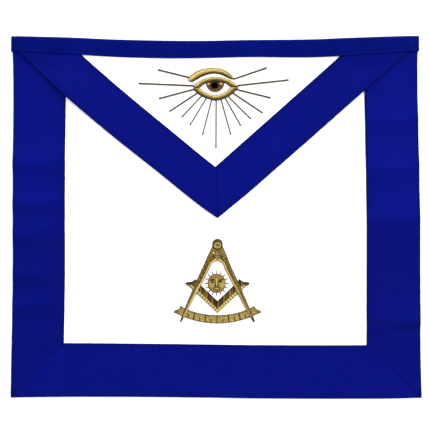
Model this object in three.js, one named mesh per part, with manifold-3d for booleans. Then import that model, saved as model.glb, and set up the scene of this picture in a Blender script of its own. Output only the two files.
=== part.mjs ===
// A lodge past master's apron, lying flat: a white cloth body with a wide blue ribbon border on
// three sides, a three-cornered flap with a ribbon border of its own, and a blue waistband folded
// over the top of both. The gold padded embroidery is a rayed eye on the flap, and compasses over
// a square and a quadrant, with a sun between them, on the body.
// Millimetres. +X is to the right of someone facing the apron, +Y is towards the waistband, and +Z
// is up from the surface that the apron lies on. The origin is under the middle of its box.
import * as THREE from 'three';
import { mergeVertices } from 'three/addons/utils/BufferGeometryUtils.js';
import Module from 'manifold-3d';

const wasm = await Module();
wasm.setup();
const { lerp, clamp, degToRad, smoothstep } = THREE.MathUtils;

// Cloth layers
const bodyThickness = 1.5;
const flapThickness = 1.2;
const ribbonThickness = 1;
const bandThickness = 1;
const clearance = 0.3; // between layers that lie on each other
const edgeRadius = 0.6; // of a ribbon's turned edge

// Body outline
const apronHeight = 361; // from the hem to the fold of the waistband at its right end
const hemWidth = 411;
const waistWidth = 404; // of the body at the waistband
const waistShift = -1.1; // of the middle of the waist, from the middle of the hem
const waistDip = 4.9; // how far the fold of the waistband sinks in the middle
const sideWander = 1.3; // how far a side edge strays from a straight line
const hemWander = 1.2; // how far the hem strays from a straight line
const borderWidth = 52; // of the ribbon on the left side
const rightBorderExtra = 1.4; // how much wider the ribbon on the right side is
const hemBorderExtra = 1.5; // and the ribbon along the hem

// Waistband
const bandHeight = 17.4;
const bandOverhang = 1.5; // of each end of the waistband past the body
const bandStepLength = 14; // over which the cloth rises onto the back of the waistband
const foldDepth = 3; // of the rounded fold at the top of the waistband

// Flap
const flapDepth = 160; // from the middle of the waistband's lower edge to the tip
const flapLeftInset = 5; // from the body's left edge to the flap's corner
const flapRightInset = 7.7;
const flapTipShift = 2.4; // of the tip, from the middle of the waist
const flapMitreLean = 1.6; // sideways, from the tip to the inner end of the ribbon's mitre
const flapMitreSink = 1.1; // of that end, under where the ribbon's full width would have it
const flapRibbonWidth = 40;
const flapBow = 4; // how far the left edge bows out from a straight line
const flapRightBow = 1.1; // how far the right edge does
const flapInnerShift = -2.9; // sideways, of both inner edges of the ribbon at the waistband
const innerBow = 1; // how far the inner edge of its ribbon does
const flapTuck = 9; // how far the flap runs up inside the waistband
const flapDrape = 55; // how far in from the side border the flap comes down to the body
const flapLift = 2.6; // how high the slack edge of the flap stands

// Waves of the free side edges
const rippleRise = 1.2;
const rippleDepth = 78; // how far in from a side edge a wave runs out

// Gold embroidery
const goldRise = 1.6; // padded height
const flatRise = 1; // of work that other work crosses
const legRise = 2.4; // of the legs of the compasses, which pass over the square and the quadrant
const wireWidth = 1; // of the single gold wires
const sewnGap = 0.5; // between one motif and the next

// Eye on the flap
const eyeDrop = 26; // from the waistband's lower edge down to the point that the rays spread from
const eyeWidth = 43; // between the corners
const eyeShift = 0.5; // of that point, sideways from the middle of the waist
const irisShift = -0.5; // of its middle, from the point that the rays spread from
const irisLevel = 2; // of its middle, over that point
const irisRadius = 9.4;
const irisHeight = 10; // from its middle to its lowest point
const irisRise = 1;
const pupilShift = -0.9; // of its middle, from the point that the rays spread from
const pupilRadius = 3;
const pupilSink = 2; // of its middle, under that point
const pupilRise = 0.5;

// Compasses, square, quadrant and sun on the body
const legLength = 85.6; // from the hinge to the point
const legSpread = 25.2; // degrees from upright
const legWidth = 7.5; // at the widest part of the blade
const hingeRadius = 5.2;
const emblemRise = 0.6; // over the middle between the flap's tip and the hem border
const hingeShift = 1.3; // sideways from the middle of the hem
const squareArm = 42.8; // from the corner to the end of an arm
const squareWidth = 7.4;
const squareTilt = 43.3; // degrees of an arm from level
const squareDrop = 69; // from the hinge down to the outer corner
const quadrantRadius = 81.1; // of the inner edge
const quadrantWidth = 7.7;
const quadrantSpread = 29.6; // degrees from the middle to each end
const quadrantOffset = 9.4; // from the centre of its arc down to the hinge
const sunShift = -0.8; // of the middle of the sun, sideways from the hinge
const sunDrop = 39.9; // from the hinge down to the middle of the sun
const sunRadius = 8.7;
const sunHeight = 9.3; // half of its height
const sunRayCount = 16;
const sunRayLength = 2.8;
const sunRayWidth = 0.7;

// How finely the cloth is divided
const rowStep = 13;
const flapStep = 14;
const fineStep = 2.5; // along the brow and the lids
const ovalSteps = 12; // across a round piece of it
const quadrantSteps = 10;
const knobSides = 32;
const stepRows = 4; // rows on the rise onto the back of the waistband

// Where the side edges draw in, as shares of sideWander, from the hem up to the waistband
const SIDE_EDGES = [
  { up: 0, left: 0, right: 0 },
  { up: 0.1, left: 0.25, right: 0.42 },
  { up: 0.23, left: 0.73, right: 0.31 },
  { up: 0.36, left: 0.98, right: -0.15 },
  { up: 0.54, left: 0.57, right: -0.52 },
  { up: 0.7, left: 0.43, right: -0.28 },
  { up: 0.88, left: 0.8, right: 0.15 },
  { up: 1, left: 0, right: 0 },
];

// Where the hem hangs low, as shares of hemWander
const HEM = [
  { across: 0, low: 0 },
  { across: 0.11, low: -0.5 },
  { across: 0.28, low: -0.55 },
  { across: 0.46, low: 0 },
  { across: 0.6, low: 0.75 },
  { across: 0.8, low: 1 },
  { across: 0.92, low: 0.85 },
  { across: 1, low: 0.2 },
];

// The dip of the waistband's fold, as shares of waistDip, and its height, as shares of bandHeight
const WAIST = [
  { across: 0, dip: 0.18, height: 0.87 },
  { across: 0.14, dip: 0.39, height: 0.95 },
  { across: 0.26, dip: 0.75, height: 0.99 },
  { across: 0.37, dip: 0.96, height: 1 },
  { across: 0.47, dip: 1, height: 0.98 },
  { across: 0.58, dip: 0.84, height: 0.97 },
  { across: 0.73, dip: 0.71, height: 1.02 },
  { across: 0.85, dip: 0.39, height: 1 },
  { across: 1, dip: 0, height: 0.84 },
];

// Crests of the waves: side, place and half length as shares of apronHeight, rise of rippleRise
const RIPPLES = [
  { side: -1, up: 0.645, half: 0.066, rise: 1 },
  { side: -1, up: 0.52, half: 0.06, rise: 0.65 },
  { side: -1, up: 0.37, half: 0.08, rise: 0.9 },
  { side: -1, up: 0.235, half: 0.055, rise: 0.6 },
  { side: 1, up: 0.66, half: 0.07, rise: 0.8 },
  { side: 1, up: 0.52, half: 0.066, rise: 0.7 },
  { side: 1, up: 0.37, half: 0.075, rise: 0.55 },
  { side: 1, up: 0.235, half: 0.06, rise: 1 },
];

// Slack places on the flap's edges, with place along the edge as a share of it, rise as a share of
// flapLift and reach as a share of flapRibbonWidth
const SLACK = [
  { side: -1, along: 0.22, rise: 1, reach: 1.25 },
  { side: 1, along: 0.3, rise: 0.28, reach: 1.1 },
];

// How far out the flap's edges bow, as shares of flapBow and flapRightBow, from the corner to the tip
const FLAP_EDGE = [
  { along: 0, left: 0, right: 0 },
  { along: 0.1, left: 0.4, right: 0 },
  { along: 0.27, left: 1, right: 0.1 },
  { along: 0.5, left: 1.05, right: 0.65 },
  { along: 0.7, left: 0.72, right: 0.85 },
  { along: 0.85, left: 0.58, right: 1 },
  { along: 0.93, left: 0.4, right: 0.4 },
  { along: 1, left: 0, right: 0 },
];

// Rays round the eye: both ends as shares of eyeWidth from the point that they spread from
const RAYS = [
  { nearX: 0.46, nearY: 0.123, farX: 1.181, farY: 0.37 },
  { nearX: 0.535, nearY: -0.037, farX: 1.691, farY: 0.088 },
  { nearX: 0.519, nearY: -0.14, farX: 1.267, farY: -0.323 },
  { nearX: 0.423, nearY: -0.228, farX: 1.086, farY: -0.67 },
  { nearX: 0.312, nearY: -0.312, farX: 0.814, farY: -0.812 },
  { nearX: 0.237, nearY: -0.353, farX: 0.581, farY: -0.967 },
  { nearX: 0.135, nearY: -0.391, farX: 0.353, farY: -1.177 },
  { nearX: 0.014, nearY: -0.407, farX: 0.009, farY: -1.484 },
  { nearX: -0.098, nearY: -0.395, farX: -0.302, farY: -1.181 },
  { nearX: -0.23, nearY: -0.358, farX: -0.591, farY: -0.953 },
  { nearX: -0.342, nearY: -0.3, farX: -0.786, farY: -0.772 },
  { nearX: -0.442, nearY: -0.228, farX: -1.065, farY: -0.635 },
  { nearX: -0.533, nearY: -0.137, farX: -1.309, farY: -0.342 },
  { nearX: -0.523, nearY: -0.044, farX: -1.777, farY: 0.009 },
  { nearX: -0.635, nearY: 0.153, farX: -1.33, farY: 0.323 },
];

// The brow and the lids from end to end: both edges as shares of eyeWidth from the same point
const BROW = [
  { along: 0, topX: -0.635, topY: 0.086, lowX: -0.609, lowY: 0.058 },
  { along: 0.04, topX: -0.633, topY: 0.121, lowX: -0.563, lowY: 0.056 },
  { along: 0.14, topX: -0.558, topY: 0.191, lowX: -0.465, lowY: 0.114 },
  { along: 0.3, topX: -0.433, topY: 0.284, lowX: -0.337, lowY: 0.186 },
  { along: 0.48, topX: -0.26, topY: 0.335, lowX: -0.193, lowY: 0.242 },
  { along: 0.64, topX: -0.06, topY: 0.358, lowX: -0.044, lowY: 0.263 },
  { along: 0.78, topX: 0.14, topY: 0.33, lowX: 0.116, lowY: 0.242 },
  { along: 0.9, topX: 0.293, topY: 0.247, lowX: 0.265, lowY: 0.174 },
  { along: 1, topX: 0.44, topY: 0.116, lowX: 0.419, lowY: 0.093 },
];
const UPPER_LID = [
  { along: 0, topX: -0.526, topY: -0.091, lowX: -0.521, lowY: -0.095 },
  { along: 0.08, topX: -0.486, topY: -0.033, lowX: -0.386, lowY: -0.093 },
  { along: 0.2, topX: -0.386, topY: 0.044, lowX: -0.288, lowY: -0.016 },
  { along: 0.35, topX: -0.249, topY: 0.121, lowX: -0.181, lowY: 0.044 },
  { along: 0.5, topX: -0.079, topY: 0.163, lowX: -0.051, lowY: 0.077 },
  { along: 0.65, topX: 0.102, topY: 0.158, lowX: 0.088, lowY: 0.07 },
  { along: 0.8, topX: 0.293, topY: 0.093, lowX: 0.247, lowY: 0.012 },
  { along: 0.92, topX: 0.447, topY: 0.014, lowX: 0.353, lowY: -0.067 },
  { along: 1, topX: 0.533, topY: -0.07, lowX: 0.528, lowY: -0.077 },
];
const LOWER_LID = [
  { along: 0, topX: -0.519, topY: -0.107, lowX: -0.521, lowY: -0.116 },
  { along: 0.08, topX: -0.386, topY: -0.105, lowX: -0.479, lowY: -0.163 },
  { along: 0.2, topX: -0.3, topY: -0.177, lowX: -0.363, lowY: -0.26 },
  { along: 0.35, topX: -0.186, topY: -0.242, lowX: -0.207, lowY: -0.34 },
  { along: 0.5, topX: -0.021, topY: -0.281, lowX: -0.007, lowY: -0.384 },
  { along: 0.65, topX: 0.147, topY: -0.253, lowX: 0.191, lowY: -0.349 },
  { along: 0.8, topX: 0.277, topY: -0.172, lowX: 0.353, lowY: -0.256 },
  { along: 0.92, topX: 0.356, topY: -0.081, lowX: 0.47, lowY: -0.153 },
  { along: 1, topX: 0.523, topY: -0.086, lowX: 0.528, lowY: -0.095 },
];

// A leg of the compasses: place along it as a share of legLength, and how far its two edges lie
// from its middle line as shares of legWidth
const LEG = [
  { along: 0.045, outer: 0.5, inner: 0.95 },
  { along: 0.172, outer: 0.5, inner: 0.95 },
  { along: 0.23, outer: 0.48, inner: 0.4 },
  { along: 0.4, outer: 0.43, inner: 0.31 },
  { along: 0.55, outer: 0.37, inner: 0.27 },
  { along: 0.75, outer: 0.24, inner: 0.2 },
  { along: 0.9, outer: 0.14, inner: 0.12 },
  { along: 1, outer: 0.06, inner: 0.05 },
];

// An arm of the square: place along it as a share of squareArm, and its two edges as shares of
// squareWidth from the outer edge
const SQUARE_END = [
  { along: 0.84, outer: 0, inner: 1 },
  { along: 0.9, outer: 0, inner: 1.12 },
  { along: 0.935, outer: 0, inner: 0.72 },
  { along: 0.965, outer: 0, inner: 0.36 },
  { along: 1, outer: -0.02, inner: 0.1 },
];

// The quadrant's end: angle as a share of quadrantSpread, and its edges as shares of quadrantWidth
// from the inner edge
const QUADRANT_END = [
  { turn: 0.85, inner: 0, outer: 1 },
  { turn: 0.9, inner: -0.12, outer: 1 },
  { turn: 0.93, inner: 0.3, outer: 1 },
  { turn: 0.965, inner: 0.62, outer: 1 },
  { turn: 1, inner: 0.9, outer: 1.02 },
];

// Cross-sections of raised work: height as a share of its rise, from one edge to the other
const ROUNDED = [
  { across: 0, rise: 0.35 },
  { across: 0.2, rise: 0.85 },
  { across: 0.5, rise: 1 },
  { across: 0.8, rise: 0.85 },
  { across: 1, rise: 0.35 },
];
const LEDGED = [
  { across: 0, rise: 0.6 },
  { across: 0.3, rise: 0.7 },
  { across: 0.36, rise: 1 },
  { across: 0.9, rise: 1 },
  { across: 1, rise: 0.7 },
];
const FLAT = [
  { across: 0, rise: 0.8 },
  { across: 0.12, rise: 1 },
  { across: 0.88, rise: 1 },
  { across: 1, rise: 0.8 },
];
const SLAB = [
  { across: 0, rise: 1 },
  { across: 1, rise: 1 },
];
const WIRE = [
  { across: 0, rise: 0.4 },
  { across: 0.5, rise: 1 },
  { across: 1, rise: 0.4 },
];

const point = (x, y) => new THREE.Vector2(x, y);
const between = (a, b, share) => a.clone().lerp(b, share);

// The value in one column of a table, on a smooth curve through its rows.
function read(table, key, column, at) {
  const last = table.length - 1;
  const found = table.findIndex((row) => row[key] > at);
  const next = found < 0 ? last : Math.max(found, 1);
  const slope = (i) => {
    const before = table[Math.max(i - 1, 0)];
    const after = table[Math.min(i + 1, last)];
    return (after[column] - before[column]) / (after[key] - before[key]);
  };
  const from = table[next - 1];
  const to = table[next];
  const span = to[key] - from[key];
  const t = clamp((at - from[key]) / span, 0, 1);
  const ease = t * t * (3 - 2 * t);
  const bend = span * t * (1 - t) * ((1 - t) * slope(next - 1) - t * slope(next));
  return lerp(from[column], to[column], ease) + bend;
}

// Evenly spaced shares from 0 to 1, with steps no longer than step over a length.
function shares(length, step) {
  const count = Math.ceil(length / step);
  return Array.from({ length: count + 1 }, (_, i) => i / count);
}

// One at the middle of a wave, falling smoothly to nothing at -1 and 1.
const crest = (t) => (1 + Math.cos(Math.PI * clamp(t, -1, 1))) / 2;

// Outline of the body, in plan
const waistLine = (across) => apronHeight - waistDip * read(WAIST, 'across', 'dip', across);
const hemLine = (across) => -hemWander * read(HEM, 'across', 'low', across);
const bandLine = (across) => waistLine(across) - bandHeight * read(WAIST, 'across', 'height', across);

// Heights as shares of apronHeight
const bandUp = 1 - bandHeight / apronHeight; // the waistband's lower edge
const stepUp = bandUp - bandStepLength / apronHeight; // where the cloth starts to rise onto its back
const cornerUp = (borderWidth + hemBorderExtra) / apronHeight; // the inner end of a mitre at the hem
const squareUp = cornerUp + rowStep / apronHeight; // where the rows of a side border lie square
const topUp = 1 - (foldDepth + clearance) / apronHeight; // the top of the cloth, in the fold
const tuckUp = bandUp + flapTuck / apronHeight; // the top of a side border, under the waistband
const turnIn = ribbonThickness + clearance; // from a ribbon's outer edge to the edge of its cloth

// The side edge, -1 for the left and 1 for the right, at a share of the height.
function sideEdge(side, up) {
  const share = Math.min(up / bandUp, 1);
  const middle = waistShift * share;
  const wander = sideWander * read(SIDE_EDGES, 'up', side < 0 ? 'left' : 'right', share);
  return middle + side * (lerp(hemWidth, waistWidth, share) / 2 - wander);
}

// A point of the body, from shares of its width and height.
function bodyPoint(across, up) {
  const x = lerp(sideEdge(-1, up), sideEdge(1, up), across);
  return point(x, lerp(hemLine(across), waistLine(across), up));
}

const sideBorderWidth = (side) => borderWidth + (side < 0 ? 0 : rightBorderExtra);
const acrossOf = (x) => clamp((x - waistShift) / waistWidth + 0.5, 0, 1);
const widthAt = (up) => sideEdge(1, up) - sideEdge(-1, up);

// Height of the body's underside over the surface that it lies on.
function bodyUnder(x, y) {
  const edge = bandLine(acrossOf(x));
  const step = (bandThickness + clearance) * smoothstep(y, edge - bandStepLength, edge);
  const up = y / apronHeight;
  const waves = RIPPLES.map((wave) => {
    const inward = wave.side * (sideEdge(wave.side, clamp(up, 0, 1)) - x);
    const fade = 1 - smoothstep(inward, 0, rippleDepth);
    return rippleRise * wave.rise * fade * crest((up - wave.up) / wave.half);
  });
  return step + Math.max(...waves);
}
const bodyTop = (x, y) => bodyUnder(x, y) + bodyThickness;
const floorUnder = (x, y) => bodyTop(x, y) - clearance; // for solids that cut into others

// Outline of the flap, in plan
const waistEnd = (side) => waistShift + (side * waistWidth) / 2;
const flapTop = (side) => {
  const x = waistEnd(side) - side * (side < 0 ? flapLeftInset : flapRightInset);
  return point(x, bandLine(acrossOf(x)));
};
const flapTip = point(waistShift + flapTipShift, bandLine(0.5) - flapDepth);

// The outer edge of the flap, from its corner at the waistband to the tip.
function flapEdge(side, along) {
  const start = flapTop(side);
  const edge = between(start, flapTip, along);
  const bow = side < 0 ? flapBow : flapRightBow;
  const out = bow * read(FLAP_EDGE, 'along', side < 0 ? 'left' : 'right', along);
  const run = flapTip.clone().sub(start).normalize();
  return edge.add(point(side * -run.y, side * run.x).multiplyScalar(out));
}

// The inner edge of the flap's ribbon, from the waistband to the mitre over the tip.
function flapInnerEdge(side, along) {
  const start = flapTop(side);
  const run = flapTip.clone().sub(start).normalize();
  const level = start.x + (side * flapRibbonWidth) / run.y;
  const drop = bandLine(acrossOf(level)) - start.y;
  const x = level + (drop * run.x) / run.y + flapInnerShift;
  const inner = point(x, bandLine(acrossOf(x)));
  const mitreRise = flapRibbonWidth / Math.abs(run.x) - flapMitreSink;
  const mitre = point(flapTip.x - flapMitreLean, flapTip.y + mitreRise);
  const bow = side < 0 ? innerBow * read(FLAP_EDGE, 'along', 'left', along) : 0;
  return between(inner, mitre, along).add(point(side * -run.y, side * run.x).multiplyScalar(bow));
}

// Height of the flap's underside: over the side borders, down to the body, and up where it is slack.
function flapUnder(x, y) {
  const side = Math.sign(x - flapTip.x) || 1;
  const inward = side * (sideEdge(side, clamp(y / apronHeight, 0, 1)) - x);
  const inner = sideBorderWidth(side);
  const over = 1 - smoothstep(inward, inner, inner + flapDrape);
  const slack = SLACK.map((place) => {
    const at = flapEdge(place.side, place.along);
    const away = at.distanceTo(point(x, y)) / (flapRibbonWidth * place.reach);
    return flapLift * place.rise * crest(away);
  });
  const seat = bodyTop(x, y) + clearance + (ribbonThickness + clearance) * over;
  return seat + Math.max(...slack);
}
const flapSurface = (x, y) => flapUnder(x, y) + flapThickness;

// Height of the top of all that the waistband's front lies on.
function bandUnder(x) {
  const side = Math.sign(x - flapTip.x) || 1;
  const y = bandLine(acrossOf(x));
  const inner = side * flapInnerEdge(side, 0).x;
  const onRibbon = smoothstep(side * x, inner - flapRibbonWidth / 2, inner - edgeRadius);
  return flapSurface(x, y) + clearance + (ribbonThickness + clearance) * onRibbon;
}

// Turns a closed mesh's faces outwards if they point inwards.
function faceOut(geometry) {
  const at = geometry.getAttribute('position');
  const index = geometry.getIndex();
  const corner = (i) => new THREE.Vector3().fromBufferAttribute(at, index.getX(i));
  let volume = 0;
  for (let i = 0; i < index.count; i += 3) {
    volume += corner(i).dot(corner(i + 1).cross(corner(i + 2)));
  }
  if (volume < 0) index.array.reverse();
  return geometry;
}

// A closed mesh through a row of rings, which all have the same number of points. A ring runs out
// along one side of the cross-section and back along the other, so that an end is closed with
// triangles between the two sides.
function loft(rings) {
  const count = rings[0].length;
  const index = [];
  for (let r = 0; r + 1 < rings.length; r++) {
    for (let k = 0; k < count; k++) {
      const a = r * count + k;
      const b = r * count + ((k + 1) % count);
      index.push(a, b, b + count, a, b + count, a + count);
    }
  }
  const last = (rings.length - 1) * count;
  for (let out = 0, back = count - 1; out + 1 < back; out++, back--) {
    index.push(out + 1, out, back);
    index.push(last + out, last + out + 1, last + back);
    if (out + 1 < back - 1) {
      index.push(back - 1, out + 1, back);
      index.push(last + out + 1, last + back - 1, last + back);
    }
  }
  const geometry = new THREE.BufferGeometry();
  const coordinates = rings.flat().flatMap((p) => p.toArray());
  geometry.setAttribute('position', new THREE.Float32BufferAttribute(coordinates, 3));
  geometry.setIndex(index);
  return faceOut(geometry);
}

// A ring round a row of cloth: along its underside and back along its top.
function clothRing(spots, under, thickness) {
  const low = spots.map((p) => new THREE.Vector3(p.x, p.y, under(p.x, p.y)));
  const high = low.map((p) => p.clone().setZ(p.z + thickness)).reverse();
  return [...low, ...high];
}

// A ring round a ribbon that covers a cloth's face and turns down over its edge. The row runs from
// the outer edge to the inner edge.
function ribbonRing(outer, inner, width, under, clothThickness) {
  const at = (inward, rise) => {
    const p = between(outer, inner, inward / width);
    return new THREE.Vector3(p.x, p.y, under(p.x, p.y) + rise);
  };
  const low = clothThickness + clearance;
  const high = low + ribbonThickness;
  const slant = edgeRadius * (1 - Math.SQRT1_2);
  const columns = shares(width, rowStep).map((share) => lerp(ribbonThickness, width, share));
  return [
    at(0, 0),
    at(0, high - edgeRadius),
    at(slant, high - slant),
    ...columns.map((inward) => at(inward, high)),
    ...columns.toReversed().map((inward) => at(inward, low)),
    at(ribbonThickness, 0),
  ];
}

// A ring round raised work between two edge points, on a surface, with a cross-section table.
function raisedRing(a, b, surface, rise, profile) {
  const at = (share, height) => {
    const p = between(a, b, share);
    return new THREE.Vector3(p.x, p.y, surface(p.x, p.y) + clearance + height);
  };
  return [at(0, 0), at(1, 0), ...profile.toReversed().map((row) => at(row.across, rise * row.rise))];
}

// Raised work along rows of two edge points.
function raised(rows, surface, rise, profile) {
  return loft(rows.map(([a, b]) => raisedRing(a, b, surface, rise, profile)));
}

const group = new THREE.Group();

// Adds a named piece in its material.
function piece(name, geometry, material) {
  const mesh = new THREE.Mesh(geometry, material);
  geometry.computeVertexNormals();
  mesh.name = name;
  group.add(mesh);
}

const cloth = (color) => new THREE.MeshStandardMaterial({ color, roughness: 0.85, metalness: 0 });
const whiteCloth = cloth(0xf6f6f3);
const blueRibbon = cloth(0x0c137e);
const goldWork = new THREE.MeshStandardMaterial({ color: 0xb8913a, roughness: 0.4, metalness: 0.8 });
const darkWire = new THREE.MeshStandardMaterial({ color: 0x6e6a4e, roughness: 0.45, metalness: 0.7 });
const brownThread = cloth(0x7a5228);
const blackThread = cloth(0x0a0808);

// Heights of the rows that the body and its side borders share: evenly spaced, and close together
// where the cloth rises onto the back of the waistband.
function levels(highest) {
  const even = shares((stepUp - squareUp) * apronHeight, rowStep).slice(0, -1);
  return [
    ...even.map((share) => lerp(squareUp, stepUp, share)),
    ...shares(stepRows, 1).map((share) => lerp(stepUp, bandUp, share)),
    highest,
  ];
}

function bodyPanel() {
  const hem = turnIn / apronHeight;
  const below = shares((squareUp - hem) * apronHeight, rowStep).slice(0, -1);
  const rows = [...below.map((share) => lerp(hem, squareUp, share)), ...levels(topUp)];
  const rings = rows.map((up) => {
    const edge = turnIn / widthAt(up);
    const near = [-1, 1].map((side) => {
      const inner = sideBorderWidth(side) / widthAt(up);
      return shares(borderWidth, borderWidth / 3).map((share) => lerp(edge, inner, share));
    });
    const middle = shares(waistWidth - 2 * borderWidth, 2 * rowStep).slice(1, -1);
    const inside = middle.map((share) => lerp(near[0].at(-1), 1 - near[1].at(-1), share));
    const columns = [...near[0], ...inside, ...near[1].toReversed().map((share) => 1 - share)];
    const spots = columns.map((across) => bodyPoint(across, up));
    return clothRing(spots, bodyUnder, bodyThickness);
  });
  piece('body_panel', loft(rings), whiteCloth);
}

// A side border, from its mitre at the hem to inside the waistband.
function sideBorder(name, side) {
  const gap = clearance / apronHeight;
  const width = sideBorderWidth(side);
  const row = (outerUp, innerUp) => {
    const inner = width / widthAt(innerUp);
    const outerPoint = bodyPoint(side < 0 ? 0 : 1, outerUp);
    const innerPoint = bodyPoint(side < 0 ? inner : 1 - inner, innerUp);
    return ribbonRing(outerPoint, innerPoint, width, bodyUnder, bodyThickness);
  };
  const mitred = shares(squareUp * apronHeight, rowStep).slice(0, -1).map((share) => {
    return row(lerp(gap, squareUp, share), lerp(cornerUp + gap, squareUp, share));
  });
  piece(name, loft([...mitred, ...levels(tuckUp).map((up) => row(up, up))]), blueRibbon);
}

// The border along the hem, between its two mitres.
function hemBorder() {
  const row = (outerAcross, innerAcross) => {
    const outer = bodyPoint(outerAcross, 0);
    const inner = bodyPoint(innerAcross, cornerUp);
    return ribbonRing(outer, inner, borderWidth + hemBorderExtra, bodyUnder, bodyThickness);
  };
  const [left, right] = [-1, 1].map((side) => sideBorderWidth(side) / widthAt(0));
  const gap = clearance / hemWidth;
  const rows = shares(hemWidth, 2 * rowStep).map((share) => {
    return row(lerp(gap, 1 - gap, share), lerp(left + gap, 1 - right - gap, share));
  });
  piece('border_bottom', loft(rows), blueRibbon);
}

// The flap's rows: how far each is tucked up inside the waistband, and its place along the edges.
// They are close together where the cloth rises onto the back of the waistband.
function flapRows(last) {
  const stepEnd = bandStepLength / flapDepth;
  const close = Array.from({ length: stepRows }, (_, i) => ((i + 1) * stepEnd) / stepRows);
  const even = shares(flapDepth - bandStepLength, rowStep).slice(1);
  const below = [0, ...close, ...even.map((share) => lerp(stepEnd, last, share))];
  return [{ tuck: flapTuck, along: 0 }, ...below.map((along) => ({ tuck: 0, along }))];
}

// The cloth of the flap stops short of its ribbons' outer edges. A row of it follows the
// waistband's lower edge at the top, and is straight near the tip.
function flapPanel() {
  const rings = flapRows(1 - (2 * turnIn) / flapDepth).map(({ tuck, along }) => {
    const ends = [-1, 1].map((side) => {
      const run = flapTip.clone().sub(flapTop(side)).normalize();
      const p = flapEdge(side, along);
      return p.setX(p.x + (side * turnIn) / run.y);
    });
    const spots = shares(waistWidth, flapStep).map((share) => {
      const p = between(ends[0], ends[1], share);
      const top = between(flapTop(-1), flapTop(1), share);
      const sag = bandLine(acrossOf(top.x)) - top.y;
      return p.setY(p.y + tuck + sag * (1 - along) ** 2);
    });
    return clothRing(spots, flapUnder, flapThickness);
  });
  piece('flap_panel', loft(rings), whiteCloth);
}

function flapBorder(name, side) {
  const rings = flapRows(1).map(({ tuck, along }) => {
    const shift = point((side * clearance) / 2, tuck);
    const outer = flapEdge(side, along).add(shift);
    const inner = flapInnerEdge(side, along).add(shift);
    return ribbonRing(outer, inner, flapRibbonWidth, flapUnder, flapThickness);
  });
  piece(name, loft(rings), blueRibbon);
}

// The waistband's cross-section at a share of its length: its back, the fold and its front.
function waistband() {
  const length = waistWidth + 2 * bandOverhang;
  const rings = shares(length, rowStep).map((share) => {
    const x = waistShift + lerp(-length / 2, length / 2, share);
    const across = acrossOf(x);
    const top = bandUnder(x) + bandThickness;
    const fold = (deep, high) => {
      const turns = [-90, -50, 0, 50, 90].map(degToRad);
      const start = waistLine(across) - foldDepth;
      return turns.map((turn) => {
        const y = start + deep * Math.cos(turn);
        return new THREE.Vector3(x, y, top / 2 + high * Math.sin(turn));
      });
    };
    const edge = bandLine(across);
    return [
      new THREE.Vector3(x, edge, 0),
      ...fold(foldDepth, top / 2),
      new THREE.Vector3(x, edge, top),
      new THREE.Vector3(x, edge, top - bandThickness),
      ...fold(foldDepth - bandThickness, top / 2 - bandThickness).reverse(),
      new THREE.Vector3(x, edge, bandThickness),
    ];
  });
  piece('waistband', loft(rings), blueRibbon);
}

// Rows of edge points along a middle line, which is given as a function of the share along it.
function strip(line, width, step) {
  const small = 0.001;
  const length = line(0).distanceTo(line(0.5)) + line(0.5).distanceTo(line(1));
  return shares(length, step).map((share) => {
    const run = line(Math.min(share + small, 1)).sub(line(Math.max(share - small, 0))).normalize();
    const half = point(-run.y, run.x).multiplyScalar(width(share) / 2);
    return [line(share).add(half), line(share).sub(half)];
  });
}

const numbered = (i) => String(i + 1).padStart(2, '0');

// A thin gold wire from one point to another.
function wire(name, from, to, width, surface, material) {
  const rows = strip((share) => between(from, to, share), () => width, rowStep);
  piece(name, raised(rows, surface, width, WIRE), material);
}

// Raised work in the shape of an upright ellipse that may be cut off level with a curve.
function ovalRows(middle, wide, high, topLimit) {
  const rows = shares(1, 1 / ovalSteps).slice(1, -1).map((share) => {
    const x = middle.x - wide * Math.cos(Math.PI * share);
    const rise = high * Math.sin(Math.PI * share);
    return [point(x, Math.min(middle.y + rise, topLimit(x))), point(x, middle.y - rise)];
  });
  return rows.filter(([above, below]) => above.y - below.y > sewnGap);
}

// Eye
const eyeMiddle = point(waistShift + eyeShift, bandLine(0.5) - eyeDrop);
const fromEye = (x, y) => point(eyeMiddle.x + x, eyeMiddle.y + y);
const eyePoint = (x, y) => fromEye(x * eyeWidth, y * eyeWidth);

// Rows of points on the two edges of the brow or of a lid.
function eyeRows(table) {
  return shares(eyeWidth, fineStep).map((share) => {
    const value = (column) => read(table, 'along', column, share);
    return [eyePoint(value('topX'), value('topY')), eyePoint(value('lowX'), value('lowY'))];
  });
}

function eyeWork(name, table) {
  piece(name, raised(eyeRows(table), flapSurface, goldRise, ROUNDED), goldWork);
}

function eyeball() {
  const lid = eyeRows(UPPER_LID).map(([, low]) => low);
  const underLid = (x) => {
    const next = lid.findIndex((p) => p.x > x);
    const share = (x - lid[next - 1].x) / (lid[next].x - lid[next - 1].x);
    return lerp(lid[next - 1].y, lid[next].y, share) - sewnGap;
  };
  const irisRows = ovalRows(fromEye(irisShift, irisLevel), irisRadius, irisHeight, underLid);
  piece('iris', raised(irisRows, flapSurface, irisRise, FLAT), brownThread);
  const pupilRows = ovalRows(fromEye(pupilShift, -pupilSink), pupilRadius, pupilRadius, () => Infinity);
  const onIris = (x, y) => flapSurface(x, y) + clearance + irisRise;
  piece('pupil', raised(pupilRows, onIris, pupilRise, FLAT), blackThread);
}

function eyeRays() {
  RAYS.forEach(({ nearX, nearY, farX, farY }, i) => {
    const ends = [eyePoint(nearX, nearY), eyePoint(farX, farY)];
    wire(`eye_ray_${numbered(i)}`, ends[0], ends[1], wireWidth, flapSurface, darkWire);
  });
}

// Emblem on the body
const emblemHeight = hingeRadius + quadrantRadius + quadrantWidth - quadrantOffset;
const emblemMiddle = (flapTip.y + borderWidth) / 2 + emblemRise;
const hinge = point(hingeShift, emblemMiddle + emblemHeight / 2 - hingeRadius);

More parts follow.
